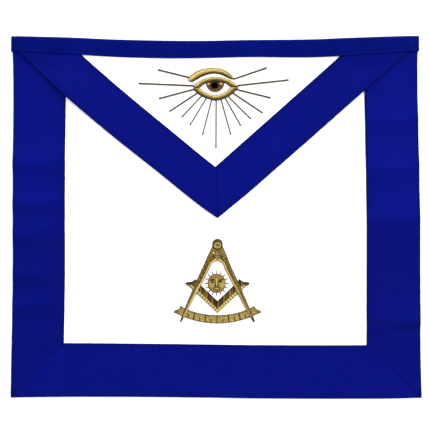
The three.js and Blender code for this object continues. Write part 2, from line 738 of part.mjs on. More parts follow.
// A point from the hinge: along a leg's middle line and outwards from it.
function legPoint(side, along, outward) {
  const turn = degToRad(legSpread);
  const x = along * Math.sin(turn) + outward * Math.cos(turn);
  const y = -along * Math.cos(turn) + outward * Math.sin(turn);
  return point(hinge.x + side * Math.max(x, sewnGap / 2), hinge.y + y);
}

// Rows of the square from its left end by its corner to its right end, drawn larger by grow.
function squareRows(grow) {
  const turn = degToRad(squareTilt);
  const corner = point(hinge.x, hinge.y - squareDrop - grow / Math.cos(turn));
  const wide = squareWidth + 2 * grow;
  const arm = (side) => SQUARE_END.map(({ along, outer, inner }) => {
    const at = (outward) => {
      const reach = along * squareArm;
      const x = reach * Math.cos(turn) - outward * Math.sin(turn);
      return point(corner.x + side * x, corner.y + reach * Math.sin(turn) + outward * Math.cos(turn));
    };
    return [at(outer * wide), at(inner * wide)];
  });
  const middle = [corner, point(corner.x, corner.y + wide / Math.cos(turn))];
  return [...arm(-1).reverse(), middle, ...arm(1)];
}

// Rows of the quadrant from its left end to its right end, drawn larger by grow.
function quadrantRows(grow) {
  const centre = point(hinge.x, hinge.y + quadrantOffset);
  const wide = quadrantWidth + 2 * grow;
  const at = (turn, outward) => {
    const reach = quadrantRadius - grow + outward * wide;
    const angle = degToRad(turn * quadrantSpread);
    return point(centre.x + reach * Math.sin(angle), centre.y - reach * Math.cos(angle));
  };
  const row = (turn, outer, inner) => [at(turn, outer), at(turn, inner)];
  const end = (side) => QUADRANT_END.map(({ turn, outer, inner }) => row(side * turn, outer, inner));
  const clear = QUADRANT_END[0].turn;
  const arc = shares(1, 1 / quadrantSteps).slice(1, -1).map((share) => lerp(-clear, clear, share));
  return [...end(-1).reverse(), ...arc.map((turn) => row(turn, 1, 0)), ...end(1)];
}

function solidOf(geometry) {
  const plain = new THREE.BufferGeometry();
  plain.setAttribute('position', geometry.getAttribute('position'));
  plain.setIndex(geometry.getIndex());
  const merged = mergeVertices(plain, 1e-4);
  const vertProperties = merged.getAttribute('position').array;
  const triVerts = new Uint32Array(merged.getIndex().array);
  return new wasm.Manifold(new wasm.Mesh({ numProp: 3, vertProperties, triVerts }));
}

function geometryOf(solid) {
  const mesh = solid.getMesh();
  const geometry = new THREE.BufferGeometry();
  geometry.setAttribute('position', new THREE.BufferAttribute(mesh.vertProperties, 3));
  geometry.setIndex(new THREE.BufferAttribute(mesh.triVerts, 1));
  return geometry;
}

// A leg passes over the square and the quadrant, so that it is hollowed out where they lie, and
// it ends short of the hinge.
function compassLeg(name, side) {
  const rows = LEG.map(({ along, outer, inner }) => {
    const reach = along * legLength;
    return [legPoint(side, reach, outer * legWidth), legPoint(side, reach, -inner * legWidth)];
  });
  const cleared = flatRise + 2 * clearance;
  const crossed = (outline) => solidOf(raised(outline, floorUnder, cleared, SLAB));
  const knobRadius = hingeRadius + clearance;
  const knobSpace = new THREE.CylinderGeometry(knobRadius, knobRadius, 2 * hingeRadius, knobSides);
  knobSpace.rotateX(Math.PI / 2);
  knobSpace.translate(hinge.x, hinge.y, bodyTop(hinge.x, hinge.y));
  const leg = solidOf(raised(rows, bodyTop, legRise, LEDGED))
    .subtract(crossed(squareRows(clearance)))
    .subtract(crossed(quadrantRows(clearance)))
    .subtract(solidOf(knobSpace));
  piece(name, geometryOf(leg), goldWork);
}

function compassKnob() {
  const rows = ovalRows(hinge, hingeRadius, hingeRadius, () => Infinity);
  piece('compass_knob', raised(rows, bodyTop, legRise, ROUNDED), goldWork);
}

function sun() {
  const middle = point(hinge.x + sunShift, hinge.y - sunDrop);
  const rows = ovalRows(middle, sunRadius, sunHeight, () => Infinity);
  piece('sun_face', raised(rows, bodyTop, goldRise, ROUNDED), goldWork);
  for (let i = 0; i < sunRayCount; i++) {
    const way = point(0, 1).rotateAround(point(0, 0), (i * 2 * Math.PI) / sunRayCount);
    const start = point(way.x * sunRadius, way.y * sunHeight).addScaledVector(way, sewnGap);
    const end = start.clone().addScaledVector(way, sunRayLength);
    const at = [start, end].map((p) => p.add(middle));
    wire(`sun_ray_${numbered(i)}`, at[0], at[1], sunRayWidth, bodyTop, goldWork);
  }
}

bodyPanel();
sideBorder('border_left', -1);
sideBorder('border_right', 1);
hemBorder();
flapPanel();
flapBorder('flap_border_left', -1);
flapBorder('flap_border_right', 1);
waistband();
eyeWork('eyebrow', BROW);
eyeWork('upper_eyelid', UPPER_LID);
eyeWork('lower_eyelid', LOWER_LID);
eyeball();
eyeRays();
compassKnob();
compassLeg('compass_leg_left', -1);
compassLeg('compass_leg_right', 1);
piece('square', raised(squareRows(0), bodyTop, flatRise, FLAT), goldWork);
piece('quadrant', raised(quadrantRows(0), bodyTop, flatRise, FLAT), goldWork);
sun();

// The pieces are laid out from the middle of the hem, and then moved to the part's origin.
const box = new THREE.Box3().setFromObject(group);
const middle = box.getCenter(new THREE.Vector3());
for (const mesh of group.children) mesh.geometry.translate(-middle.x, -middle.y, -box.min.z);

export default group;
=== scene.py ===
# Looks of the blue and white ceremonial apron: cloth, ribbon, seams, stitches and gold embroidery.
# Sizes are millimetres until a mesh is made. X is to the right, Y towards the waistband, Z up.
import math

import bpy
import numpy as np
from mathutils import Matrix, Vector


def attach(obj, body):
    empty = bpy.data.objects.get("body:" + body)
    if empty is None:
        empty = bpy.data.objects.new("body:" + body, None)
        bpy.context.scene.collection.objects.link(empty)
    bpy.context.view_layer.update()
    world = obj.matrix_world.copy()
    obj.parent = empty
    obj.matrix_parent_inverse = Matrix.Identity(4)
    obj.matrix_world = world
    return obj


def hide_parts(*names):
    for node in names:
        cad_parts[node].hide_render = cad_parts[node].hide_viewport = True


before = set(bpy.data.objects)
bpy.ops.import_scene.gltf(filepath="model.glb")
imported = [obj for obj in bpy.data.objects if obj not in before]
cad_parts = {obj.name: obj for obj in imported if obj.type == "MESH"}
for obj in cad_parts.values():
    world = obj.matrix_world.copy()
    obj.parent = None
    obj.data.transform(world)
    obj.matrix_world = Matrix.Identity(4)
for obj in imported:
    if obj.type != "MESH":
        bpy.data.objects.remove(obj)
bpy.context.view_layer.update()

MM = 0.001
TAU = 2 * math.pi

# The middle of the apron's box, from the middle of its hem
BOX_MIDDLE = 179.9

# Cloth layers, as in the solids
BODY_THICK = 1.5
FLAP_THICK = 1.2
RIBBON_THICK = 1.0
BAND_THICK = 1.0
GAP = 0.3
MITRE_GAP = -0.08  # between two ribbons at a mitre, which press together

# Outline, with -1 for the left side and 1 for the right
HEIGHT = 361.4
HEM_WIDTH = 411.6
WAIST_WIDTH = 404.6
WAIST_SHIFT = -1.1  # sideways, from the middle of the hem to the middle of the waist
WAIST_DIP = 4.9
SIDE_WANDER = 1.3
HEM_WANDER = 1.2
HEM_DROP = 0.5
BORDERS = {-1: 52.4, 1: 53.1}  # widths of the side borders
BORDER_FLARES = {-1: 0, 1: 1.2}  # how much wider they are at the hem
HEM_BORDER = 53.45
HEM_TILT = 0.7  # how much lower its inner edge is at the right end
BAND_HEIGHT = 18.1
BAND_OVERHANG = 1.1  # of each end of the waistband past the body
BAND_STEP = 14  # over which the cloth rises onto the back of the waistband
FOLD_DEPTH = 3
FLAP_DEPTH = 160
FLAP_INSETS = {-1: 6, 1: 8.7}  # from the body's edges to the flap's corners
FLAP_TIP_SHIFT = 2.4
FLAP_MITRE_LEAN = 1.6
FLAP_RIBBON = 40
FLAP_BOWS = {-1: 4, 1: 1.1}  # how far its sloping edges bow out
INNER_BOW = 1  # how far the inner edge of its left ribbon does
INNER_SHIFTS = {-1: -2.9, 1: -3.6}  # sideways, of its ribbons' inner edges at the waistband
MITRE_SINK = 1.1
FLAP_TUCK = 9  # how far the flap runs up inside the waistband
FLAP_DRAPE = 55  # over which it comes down from a side border onto the body
FLAP_LIFT = 3.4  # how high its slack edge stands

# Waves that run in from the side edges
WAVE_RISE = 2.3
WAVE_START = 20  # how far in from an edge a wave begins to fade
WAVE_DEPTH = 90  # and how far in it ends
WAVE_SLANT = 0.0004  # share of the height that it climbs towards the right, a millimetre
WAVE_SHADING_PAINT = 0.0055  # how much painted light and shade its steepness puts on the ribbon

SIDE_EDGES = np.array([
    # up, left, right
    (0, 0, 0), (0.1, 0.25, 0.42), (0.23, 0.73, 0.31), (0.36, 0.98, -0.15),
    (0.54, 0.57, -0.52), (0.7, 0.43, -0.28), (0.88, 0.6, 0.15), (1, 0, 0),
])
HEM = np.array([
    # across, low
    (0, 0), (0.11, -0.5), (0.28, -0.55), (0.46, 0), (0.6, 0.75), (0.8, 1), (0.92, 0.85), (1, 0.2),
])
WAIST = np.array([
    # across, dip, height
    (0, 0.08, 0.88), (0.14, 0.39, 0.95), (0.26, 0.75, 0.99), (0.37, 0.96, 1), (0.47, 1, 0.98),
    (0.58, 0.84, 0.97), (0.73, 0.71, 1.02), (0.85, 0.39, 1), (1, 0, 0.88),
])
CRESTS = {
    # up, rise of each crest
    -1: [(0.82, 0.2), (0.643, 1.0), (0.532, 0.75), (0.452, 0.55), (0.338, 0.6), (0.253, 0.75), (0.14, 0)],
    1: [(0.9, 0.3), (0.775, 0.7), (0.64, 0.8), (0.502, 0.9), (0.207, 1.1), (0.14, 0)],
}
SLACK = [
    # side, along, rise, reach
    (-1, 0.22, 1, 1.25), (1, 0.3, 0.28, 1.1),
]
FLAP_EDGE = np.array([
    # along, how far the left edge and the right edge bow out
    (0, 0, 0), (0.1, 0.4, 0), (0.27, 1, 0.1), (0.5, 1.05, 0.65), (0.7, 0.72, 0.85), (0.85, 0.58, 1),
    (0.93, 0.4, 0.4), (1, 0, 0),
])


def lerp(a, b, t):
    return a + (b - a) * t


def smooth(x, low, high):
    t = np.clip((x - low) / (high - low), 0, 1)
    return t * t * (3 - 2 * t)


def crest(t):
    return (1 + np.cos(math.pi * np.clip(t, -1, 1))) / 2


def line(x, place, half):
    """A soft line at a place, from 0 to 1."""
    return np.exp(-((x - place) / half) ** 2)


def steps(low, high, step):
    return np.linspace(low, high, max(2, int(math.ceil((high - low) / step)) + 1))


def run_of(points):
    """How far along a row of points each one lies."""
    return np.concatenate([[0], np.cumsum(np.linalg.norm(np.diff(points, axis=0), axis=1))])


def points_at(places, run, points):
    """Points at places along a row of points whose own places are its run."""
    return np.stack([np.interp(places, run, column) for column in points.T], -1)


def read(table, column, at):
    """One column of a table, on a smooth curve through its rows, keyed by the first column."""
    key = table[:, 0]
    value = table[:, column]
    at = np.asarray(at, float)
    last = len(key) - 1
    before = np.maximum(np.arange(last + 1) - 1, 0)
    after = np.minimum(np.arange(last + 1) + 1, last)
    slope = (value[after] - value[before]) / (key[after] - key[before])
    k = np.clip(np.searchsorted(key, at, side="right"), 1, last)
    span = key[k] - key[k - 1]
    t = np.clip((at - key[k - 1]) / span, 0, 1)
    bend = span * t * (1 - t) * ((1 - t) * slope[k - 1] - t * slope[k])
    return lerp(value[k - 1], value[k], t * t * (3 - 2 * t)) + bend


def read_straight(table, column, at):
    """One column of a table, on straight lines through its rows."""
    return np.interp(at, table[:, 0], table[:, column])


# Outline of the body, measured from the middle of the hem
def waist_line(across):
    return HEIGHT - WAIST_DIP * read(WAIST, 1, across)


def hem_line(across):
    return -HEM_WANDER * read(HEM, 1, across) - HEM_DROP


def band_line(across):
    return waist_line(across) - BAND_HEIGHT * read(WAIST, 2, across)


BAND_UP = 1 - BAND_HEIGHT / HEIGHT
TUCK_UP = BAND_UP + FLAP_TUCK / HEIGHT
TOP_UP = 1 - (FOLD_DEPTH + GAP) / HEIGHT
TURN_IN = RIBBON_THICK + GAP


def side_edge(side, up):
    share = np.minimum(np.asarray(up, float) / BAND_UP, 1)
    wander = SIDE_WANDER * read(SIDE_EDGES, 1 if side < 0 else 2, share)
    return WAIST_SHIFT * share + side * (lerp(HEM_WIDTH, WAIST_WIDTH, share) / 2 - wander)


def width_at(up):
    return side_edge(1, up) - side_edge(-1, up)


def border_share(side, up):
    """Width of a side border, as a share of the body's width there."""
    return (BORDERS[side] + BORDER_FLARES[side] * (1 - up)) / width_at(up)


def corner_up(across):
    """Height of the hem border's inner edge, as a share of the body's height."""
    return (HEM_BORDER + HEM_DROP - HEM_TILT * (across - 0.5)) / HEIGHT


def body_point(across, up):
    x = lerp(side_edge(-1, up), side_edge(1, up), across)
    return np.stack(np.broadcast_arrays(x, lerp(hem_line(across), waist_line(across), up)), -1)


def across_of(x):
    return np.clip((x - WAIST_SHIFT) / WAIST_WIDTH + 0.5, 0, 1)


def scallops(crests):
    """Height of a side edge up the apron, which hangs in curves between rounded crests."""
    ups = np.linspace(0, 1, 721)
    rows = np.array(crests[::-1])
    k = np.clip(np.searchsorted(rows[:, 0], ups, side="right"), 1, len(rows) - 1)
    t = np.clip((ups - rows[k - 1, 0]) / (rows[k, 0] - rows[k - 1, 0]), 0, 1)
    height = lerp(rows[k - 1, 1], rows[k, 1], t) * (2 * t - 1) ** 2
    soft = line(np.arange(-12, 13), 0, 4.5)
    return ups, np.convolve(height, soft / soft.sum(), "same")


WAVES = {side: scallops(crests) for side, crests in CRESTS.items()}


def painted_wave_shading(side, up):
    """Painted light on a side border where a wave faces the waistband, and painted shade where it faces the
    hem.
    """
    ups, height = WAVES[side]
    return -WAVE_SHADING_PAINT * np.interp(up, ups, np.gradient(height, ups))


def body_under(x, y):
    edge = band_line(across_of(x))
    step = (BAND_THICK + GAP) * smooth(y, edge - BAND_STEP, edge)
    up = y / HEIGHT
    inside = np.clip(up, 0, 1)
    waves = np.zeros_like(step)
    for side, (ups, height) in WAVES.items():
        inward = side * (side_edge(side, inside) - x)
        fade = 1 - smooth(inward, WAVE_START, WAVE_DEPTH)
        waves = waves + WAVE_RISE * fade * np.interp(up + side * WAVE_SLANT * inward, ups, height)
    return step + waves


def body_top(x, y):
    return body_under(x, y) + BODY_THICK


# Outline of the flap
def band_point(x):
    return np.array([x, float(band_line(across_of(x)))])


FLAP_TOP = {side: band_point(WAIST_SHIFT + side * (WAIST_WIDTH / 2 - FLAP_INSETS[side])) for side in (-1, 1)}
FLAP_TIP = np.array([WAIST_SHIFT + FLAP_TIP_SHIFT, float(band_line(0.5)) - FLAP_DEPTH])


def flap_ways(side):
    """Unit ways down a sloping edge of the flap and out from it."""
    run = FLAP_TIP - FLAP_TOP[side]
    run = run / np.linalg.norm(run)
    return run, np.array([side * -run[1], side * run[0]])


def flap_edge(side, along):
    along = np.atleast_1d(along)[:, None]
    bow = FLAP_BOWS[side] * read(FLAP_EDGE, 1 if side < 0 else 2, along)
    return lerp(FLAP_TOP[side], FLAP_TIP, along) + flap_ways(side)[1] * bow


def flap_inner_start(side):
    run, _ = flap_ways(side)
    level = FLAP_TOP[side][0] + side * FLAP_RIBBON / run[1]
    drop = float(band_line(across_of(level))) - FLAP_TOP[side][1]
    return band_point(level + drop * run[0] / run[1] + INNER_SHIFTS[side])


def flap_inner(side, along):
    run, out = flap_ways(side)
    along = along[:, None]
    mitre = FLAP_TIP + (-FLAP_MITRE_LEAN, FLAP_RIBBON / abs(run[0]) - MITRE_SINK)
    bow = INNER_BOW * read(FLAP_EDGE, 1, along) if side < 0 else 0
    return lerp(flap_inner_start(side), mitre, along) + out * bow


def flap_under(x, y):
    up = np.clip(y / HEIGHT, 0, 1)
    inward = np.where(x < FLAP_TIP[0], x - side_edge(-1, up), side_edge(1, up) - x)
    over = 1 - smooth(inward, BORDERS[1], BORDERS[1] + FLAP_DRAPE)
    slack = np.zeros_like(over)
    for side, along, rise, reach in SLACK:
        at = flap_edge(side, along)[0]
        away = np.hypot(x - at[0], y - at[1]) / (FLAP_RIBBON * reach)
        slack = np.maximum(slack, FLAP_LIFT * rise * crest(away))
    return body_top(x, y) + GAP + (RIBBON_THICK + GAP) * over + slack


def flap_top(x, y):
    return flap_under(x, y) + FLAP_THICK


# Materials
def color(r, g, b):
    """A linear colour from one as a screen shows it, 0 to 255."""
    def channel(v):
        v /= 255
        return v / 12.92 if v <= 0.04045 else ((v + 0.055) / 1.055) ** 2.4
    return (channel(r), channel(g), channel(b), 1)


class Nodes:
    """The nodes of a material or a world, with short calls that add and join them."""

    def __init__(self, owner):
        owner.use_nodes = True
        self.owner = owner
        self.tree = owner.node_tree

    def put(self, value, socket):
        if isinstance(value, bpy.types.NodeSocket):
            self.tree.links.new(value, socket)
        elif value is not None:
            socket.default_value = value

    def add(self, kind, out=0, inputs=(), **settings):
        node = self.tree.nodes.new(kind)
        for key, value in settings.items():
            setattr(node, key, value)
        for key, value in dict(inputs).items():
            self.put(value, node.inputs[key])
        return node.outputs[out]

    def math(self, operation, a, b=None, c=None):
        inputs = {i: v for i, v in enumerate((a, b, c)) if v is not None}
        return self.add("ShaderNodeMath", inputs=inputs, operation=operation)

    def attribute(self, name, out="Vector"):
        return self.add("ShaderNodeAttribute", out=out, attribute_name=name)

    def split(self, vector):
        node = self.tree.nodes.new("ShaderNodeSeparateXYZ")
        self.put(vector, node.inputs[0])
        return node.outputs

    def noise(self, vector, scale, detail=2.0, roughness=0.5):
        inputs = {"Vector": vector, "Scale": scale, "Detail": detail, "Roughness": roughness}
        return self.add("ShaderNodeTexNoise", out="Fac", inputs=inputs)

    def ramp(self, fac, stops):
        node = self.tree.nodes.new("ShaderNodeValToRGB")
        self.put(fac, node.inputs[0])
        band = node.color_ramp
        while len(band.elements) < len(stops):
            band.elements.new(0.5)
        for element, (place, shade) in zip(band.elements, stops):
            element.position = place
            element.color = shade
        return node.outputs[0]

    def weigh(self, a, share_a, b, share_b):
        """The sum of two values, each times its share."""
        return self.math("ADD", self.math("MULTIPLY", a, share_a), self.math("MULTIPLY", b, share_b))

    def mix(self, fac, a, b):
        node = self.tree.nodes.new("ShaderNodeMix")
        node.data_type = "RGBA"
        self.put(fac, node.inputs[0])
        self.put(a, node.inputs[6])
        self.put(b, node.inputs[7])
        return node.outputs[2]

    def bump(self, height, distance, strength=1.0):
        inputs = {"Height": height, "Distance": distance, "Strength": strength}
        return self.add("ShaderNodeBump", inputs=inputs)

    def finish(self, base, roughness, normal=None, **others):
        """The finished material. An other socket of its shader is named with _ for a space."""
        shader = self.tree.nodes["Principled BSDF"]
        values = {"Base Color": base, "Roughness": roughness, "Normal": normal}
        values.update({key.replace("_", " "): value for key, value in others.items()})
        for key, value in values.items():
            self.put(value, shader.inputs[key])
        return self.owner


# Pitches of threads
RIB_PITCH = 0.62
WARP_PITCH = 0.34
WEAVE_PITCH = 0.52


def ribs(n, along, pitch):
    """A row of round ribs with a pitch in millimetres, from 0 to 1."""
    turn = n.math("MULTIPLY", along, TAU / pitch)
    return n.math("MULTIPLY_ADD", n.math("SINE", turn), 0.5, 0.5)


def ribbon_material(name, blue, lighter, darker, deep):
    """Grosgrain: fine ribs across the ribbon, warp threads along it, and slow changes of tone. Its tone
    attribute mixes in a deep blue, which carries painted shade.
    """
    n = Nodes(bpy.data.materials.new(name))
    flat = n.attribute("flat")
    across, along, _ = n.split(flat)
    rib = ribs(n, along, RIB_PITCH)
    warp = ribs(n, across, WARP_PITCH)
    slow = n.noise(flat, 0.035, 3.0, 0.55)
    fine = n.noise(flat, 1.1, 2.0, 0.7)
    tone = n.weigh(slow, 0.75, fine, 0.25)
    base = n.ramp(tone, [(0.3, darker), (0.5, blue), (0.72, lighter)])
    shaded = n.mix(n.attribute("tone", "Fac"), deep, base)
    normal = n.bump(n.weigh(rib, 0.7, warp, 0.3), 0.00006, 0.8)
    rough = n.math("MULTIPLY_ADD", rib, -0.12, 0.66)
    return n.finish(shaded, rough, normal, Specular_IOR_Level=0.05, Specular_Tint=(0.3, 0.4, 1, 1))


def cloth_material(name, white, shade):
    """A close plain weave in white."""
    n = Nodes(bpy.data.materials.new(name))
    flat = n.attribute("flat")
    across, along, _ = n.split(flat)
    warp = ribs(n, across, WEAVE_PITCH)
    weft = ribs(n, along, WEAVE_PITCH)
    weave = n.math("MULTIPLY", warp, weft)
    slow = n.noise(flat, 0.03, 3.0)
    fine = n.noise(flat, 0.9, 3.0, 0.7)
    base = n.ramp(n.weigh(slow, 0.6, fine, 0.4), [(0.3, shade), (0.6, white)])
    height = n.math("MULTIPLY_ADD", fine, 0.5, weave)
    normal = n.bump(height, 0.00005, 0.7)
    return n.finish(base, 0.85, normal, Specular_IOR_Level=0.2, Sheen_Weight=0.05)


def gold_material(name, stops, pitch, metal, rough=0.42, slant=0.5):
    """Coiled gold wire laid side by side, with its tone from light to dark in an attribute, which holds the
    work's own marks as well as painted light and shade. Each coil of wire gets painted light and shade too.
    """
    n = Nodes(bpy.data.materials.new(name))
    flat = n.attribute("flat")
    across, along, _ = n.split(flat)
    slanted = n.math("MULTIPLY_ADD", across, slant, along)
    wire = ribs(n, slanted, pitch)
    fine = n.noise(flat, 1.6, 3.0, 0.75)
    tone = n.attribute("tone", "Fac")
    tone = n.math("ADD", tone, n.math("MULTIPLY_ADD", fine, 0.34, -0.17))
    # Painted light and shade along each coil of wire
    tone = n.math("ADD", tone, n.math("MULTIPLY_ADD", wire, 0.14, -0.07))
    base = n.ramp(tone, stops)
    normal = n.bump(wire, 0.00008, 0.8)
    roughness = n.math("MULTIPLY_ADD", fine, 0.25, rough - 0.12)
    return n.finish(base, roughness, normal, Metallic=metal, Specular_IOR_Level=0.12)


def thread_material(name, dark, light, pitch, metal=0.0, rough=0.5, gloss=0.06):
    """Twisted thread or wire, with its ridges round it, painted light on each ridge of the twist and painted
    shade between them.
    """
    n = Nodes(bpy.data.materials.new(name))
    flat = n.attribute("flat")
    around, along, _ = n.split(flat)
    twist = ribs(n, n.math("MULTIPLY_ADD", around, 0.6, along), pitch)
    fine = n.noise(flat, 2.0, 2.0, 0.7)
    base = n.ramp(n.weigh(twist, 0.6, fine, 0.4), [(0.25, dark), (0.75, light)])
    normal = n.bump(twist, 0.00006, 0.8)
    return n.finish(base, rough, normal, Metallic=metal, Specular_IOR_Level=gloss)


GOLD_STOPS = [
    (0.0, color(20, 13, 4)),
    (0.2, color(56, 40, 15)),
    (0.4, color(92, 72, 32)),
    (0.6, color(126, 108, 58)),
    (0.8, color(166, 146, 82)),
    (1.0, color(214, 199, 136)),
]
IRIS_STOPS = [
    (0.0, color(18, 9, 3)),
    (0.35, color(70, 48, 24)),
    (0.65, color(106, 77, 38)),
    (1.0, color(206, 156, 98)),
]
# Each is a plain, a lighter and a darker blue, and a deep blue that is painted shade
RIBBON_BLUES = [color(4, 11, 107), color(4, 12, 110), color(3, 10, 101), color(2, 7, 78)]
TAPE_BLUES = [color(0, 8, 89), color(0, 9, 93), color(0, 7, 81), color(0, 4, 60)]
RIBBON = ribbon_material("blue ribbon", *RIBBON_BLUES)
TAPE = ribbon_material("blue tape", *TAPE_BLUES)
WHITE = cloth_material("white cloth", color(250, 250, 249), color(243, 243, 244))
GOLD = gold_material("gold bullion", GOLD_STOPS, 0.5, 0.5)
WIRE = thread_material("dull gold wire", color(38, 32, 18), color(86, 76, 50), 0.9, 0.3, 0.5)
IRIS = gold_material("brown iris thread", IRIS_STOPS, 0.4, 0.0, 0.6, 0.0)
PUPIL = thread_material("black thread", color(2, 1, 0), color(7, 4, 2), 0.5, 0.0, 0.9, 0.0)
STEEL = thread_material("grey gold wire", color(46, 48, 62), color(92, 94, 110), 0.9, 0.3, 0.5)
SEWING = thread_material("blue sewing thread", color(2, 6, 66), color(5, 13, 104), 0.5)


# Meshes
def zipped(points, a, b):
    """Triangles that close the space between two rows of points which run side by side."""
    def progress(row):
        length = np.linalg.norm(np.diff(points[row], axis=0), axis=1)
        return np.concatenate([[0], np.cumsum(length) / length.sum()])

    reach_a, reach_b = progress(a), progress(b)
    faces = []
    i = j = 0
    while i < len(a) - 1 or j < len(b) - 1:
        if j == len(b) - 1 or (i < len(a) - 1 and reach_a[i + 1] <= reach_b[j + 1]):
            faces.append([int(a[i]), int(a[i + 1]), int(b[j])])
            i += 1
        else:
            faces.append([int(a[i]), int(b[j + 1]), int(b[j])])
            j += 1
    return faces


def quads_of(index):
    """Faces between rings of points, where each row of the index is a ring."""
    following = np.roll(index, -1, axis=1)
    return np.stack([index[:-1], following[:-1], following[1:], index[1:]], -1).reshape(-1, 4)


def loft(rings, front=None):
    """Points and faces of a closed mesh through rings of points. A ring runs out along the front of
    the cross-section and back along its other side, and each end is closed between the two."""
    count, size = rings.shape[:2]
    front = front or size // 2
    index = np.arange(count * size).reshape(count, size)
    quads = quads_of(index)
    points = rings.reshape(-1, 3)
    faces = quads.tolist()
    faces += [face[::-1] for face in zipped(points, index[0][:front], index[0][front:][::-1])]
    faces += zipped(points, index[-1][:front], index[-1][front:][::-1])
    a, b, c, d = (points[quads[:, i]] for i in range(4))
    volume = np.einsum("ij,ij->", a, np.cross(b, c)) + np.einsum("ij,ij->", a, np.cross(c, d))
    if volume < 0:
        faces = [face[::-1] for face in faces]
    return points, faces


def make(name, points, faces, material, slot, nodes=(), flat=None, tone=None, sharp=50):
    """A piece of the apron from points in millimetres, with its weave coordinates and its tone."""
    mesh = bpy.data.meshes.new(name)
    placed = np.array(points, float)
    placed[:, 1] -= BOX_MIDDLE
    mesh.from_pydata((placed * MM).tolist(), [], faces)
    mesh.update()
    count = len(placed)
    flat = placed if flat is None else np.asarray(flat, float).reshape(-1, 3)
    tone = np.ones(count) if tone is None else np.asarray(tone, float).reshape(-1)
    mesh.attributes.new("flat", "FLOAT_VECTOR", "POINT").data.foreach_set("vector", flat.ravel())
    mesh.attributes.new("tone", "FLOAT", "POINT").data.foreach_set("value", tone)
    mesh.shade_smooth()
    mesh.set_sharp_from_angle(angle=math.radians(sharp))
    mesh.materials.append(material)
    piece = bpy.data.objects.new(name, mesh)
    bpy.context.scene.collection.objects.link(piece)
    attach(piece, "root")
    if nodes:
        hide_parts(*nodes)
    return piece


def rings_piece(name, rings, *looks, front=None):
    """A piece through rings of points, with its looks as make takes them."""
    return make(name, *loft(rings, front), *looks)


def swept(columns, places, along):
    """Rings from columns of points, and their places across and along the weave."""
    rings = np.stack(columns, axis=1)
    flat = np.zeros(rings.shape)
    flat[..., 0] = np.array(places)[None]
    flat[..., 1] = along[:, None]
    return rings, flat


# Cloth
def cloth_rings(spots, under, thick):
    """Rings of a sheet from rows of spots (rows, columns, 2): along its underside and back over it."""
    z = under(spots[..., 0], spots[..., 1])
    low = np.dstack([spots, z])
    high = np.dstack([spots, z + thick])[:, ::-1]
    return np.concatenate([low, high], axis=1)


CLOTH_STEP = 3.2
FLAP_STEP = 2.6
FLAP_COLUMNS = 130


def body_cloth():
    columns = len(steps(TURN_IN, WAIST_WIDTH - TURN_IN, CLOTH_STEP))
    rows = []
    for up in steps(TURN_IN / HEIGHT, TOP_UP, CLOTH_STEP / HEIGHT):
        edge = TURN_IN / width_at(up)
        rows.append(body_point(np.linspace(edge, 1 - edge, columns), up))
    rings = cloth_rings(np.array(rows), body_under, BODY_THICK)
    piece = rings_piece("body_cloth", rings, WHITE, "white_cloth", ["body_panel"])


# A ribbon's cross-section: columns over its face, by their distance from the outer and the inner edge
FACE = np.concatenate([np.arange(0.8, 9.2, 0.4), np.arange(9.2, 50, 1.8)])
INNER_FACE = np.arange(6.9, 0.6, -0.6)
INNER_REACH = 7.2  # from the inner edge, up to where the first columns run
RIM = 0.7  # radius of the turned edge
RIM_TURNS = np.radians([0, 22, 45, 68])
UNDER_RIM = ((0.35, 0.05), (0, 0.4))  # place and height of the columns below it
SEAM = 4.4  # from the outer edge
INNER_SEAM = 1.6  # from the inner edge
TURNED_END = (7.2, 8.4)  # from the outer edge, where the double layer ends

# Rows along a ribbon, by their distance from its mitred end, and then a step apart
MITRE_ROWS = np.array([0, 0.25, 0.6, 1.1, 1.8, 2.7, 3.8, 5.2])
ROW = 1.6
FLAP_ROW = 1.1
FLAP_MITRE = 6.8  # from the flap's tip, where the fine rows begin
CORNER_UP = 0.15  # share of the height, of the hem border's inner corners
FAN = 28  # past the hem border, up to where the rows of a side border have turned level
FAN_ROWS = steps(7, 80, ROW)

STITCH_PITCH = 2.9
STITCH_LENGTH = 2.2
STITCH_RADIUS = 0.2
STITCH_SIDES = 6
STITCH_RISE = 0.02
STITCH_SINK = 0.22  # of a stitch's ends

# How light each ribbon is drawn: a side border's lower and upper part, the hem and the flap
SIDE_TONES = {-1: (0.38, 0.72), 1: (0.46, 0.84)}
TONE_CHANGE = (150, 205)  # over the hem, where the lower part ends and the upper part begins
HEM_TONE = 0.6
FLAP_TONES = {-1: 0.62, 1: 0.68}


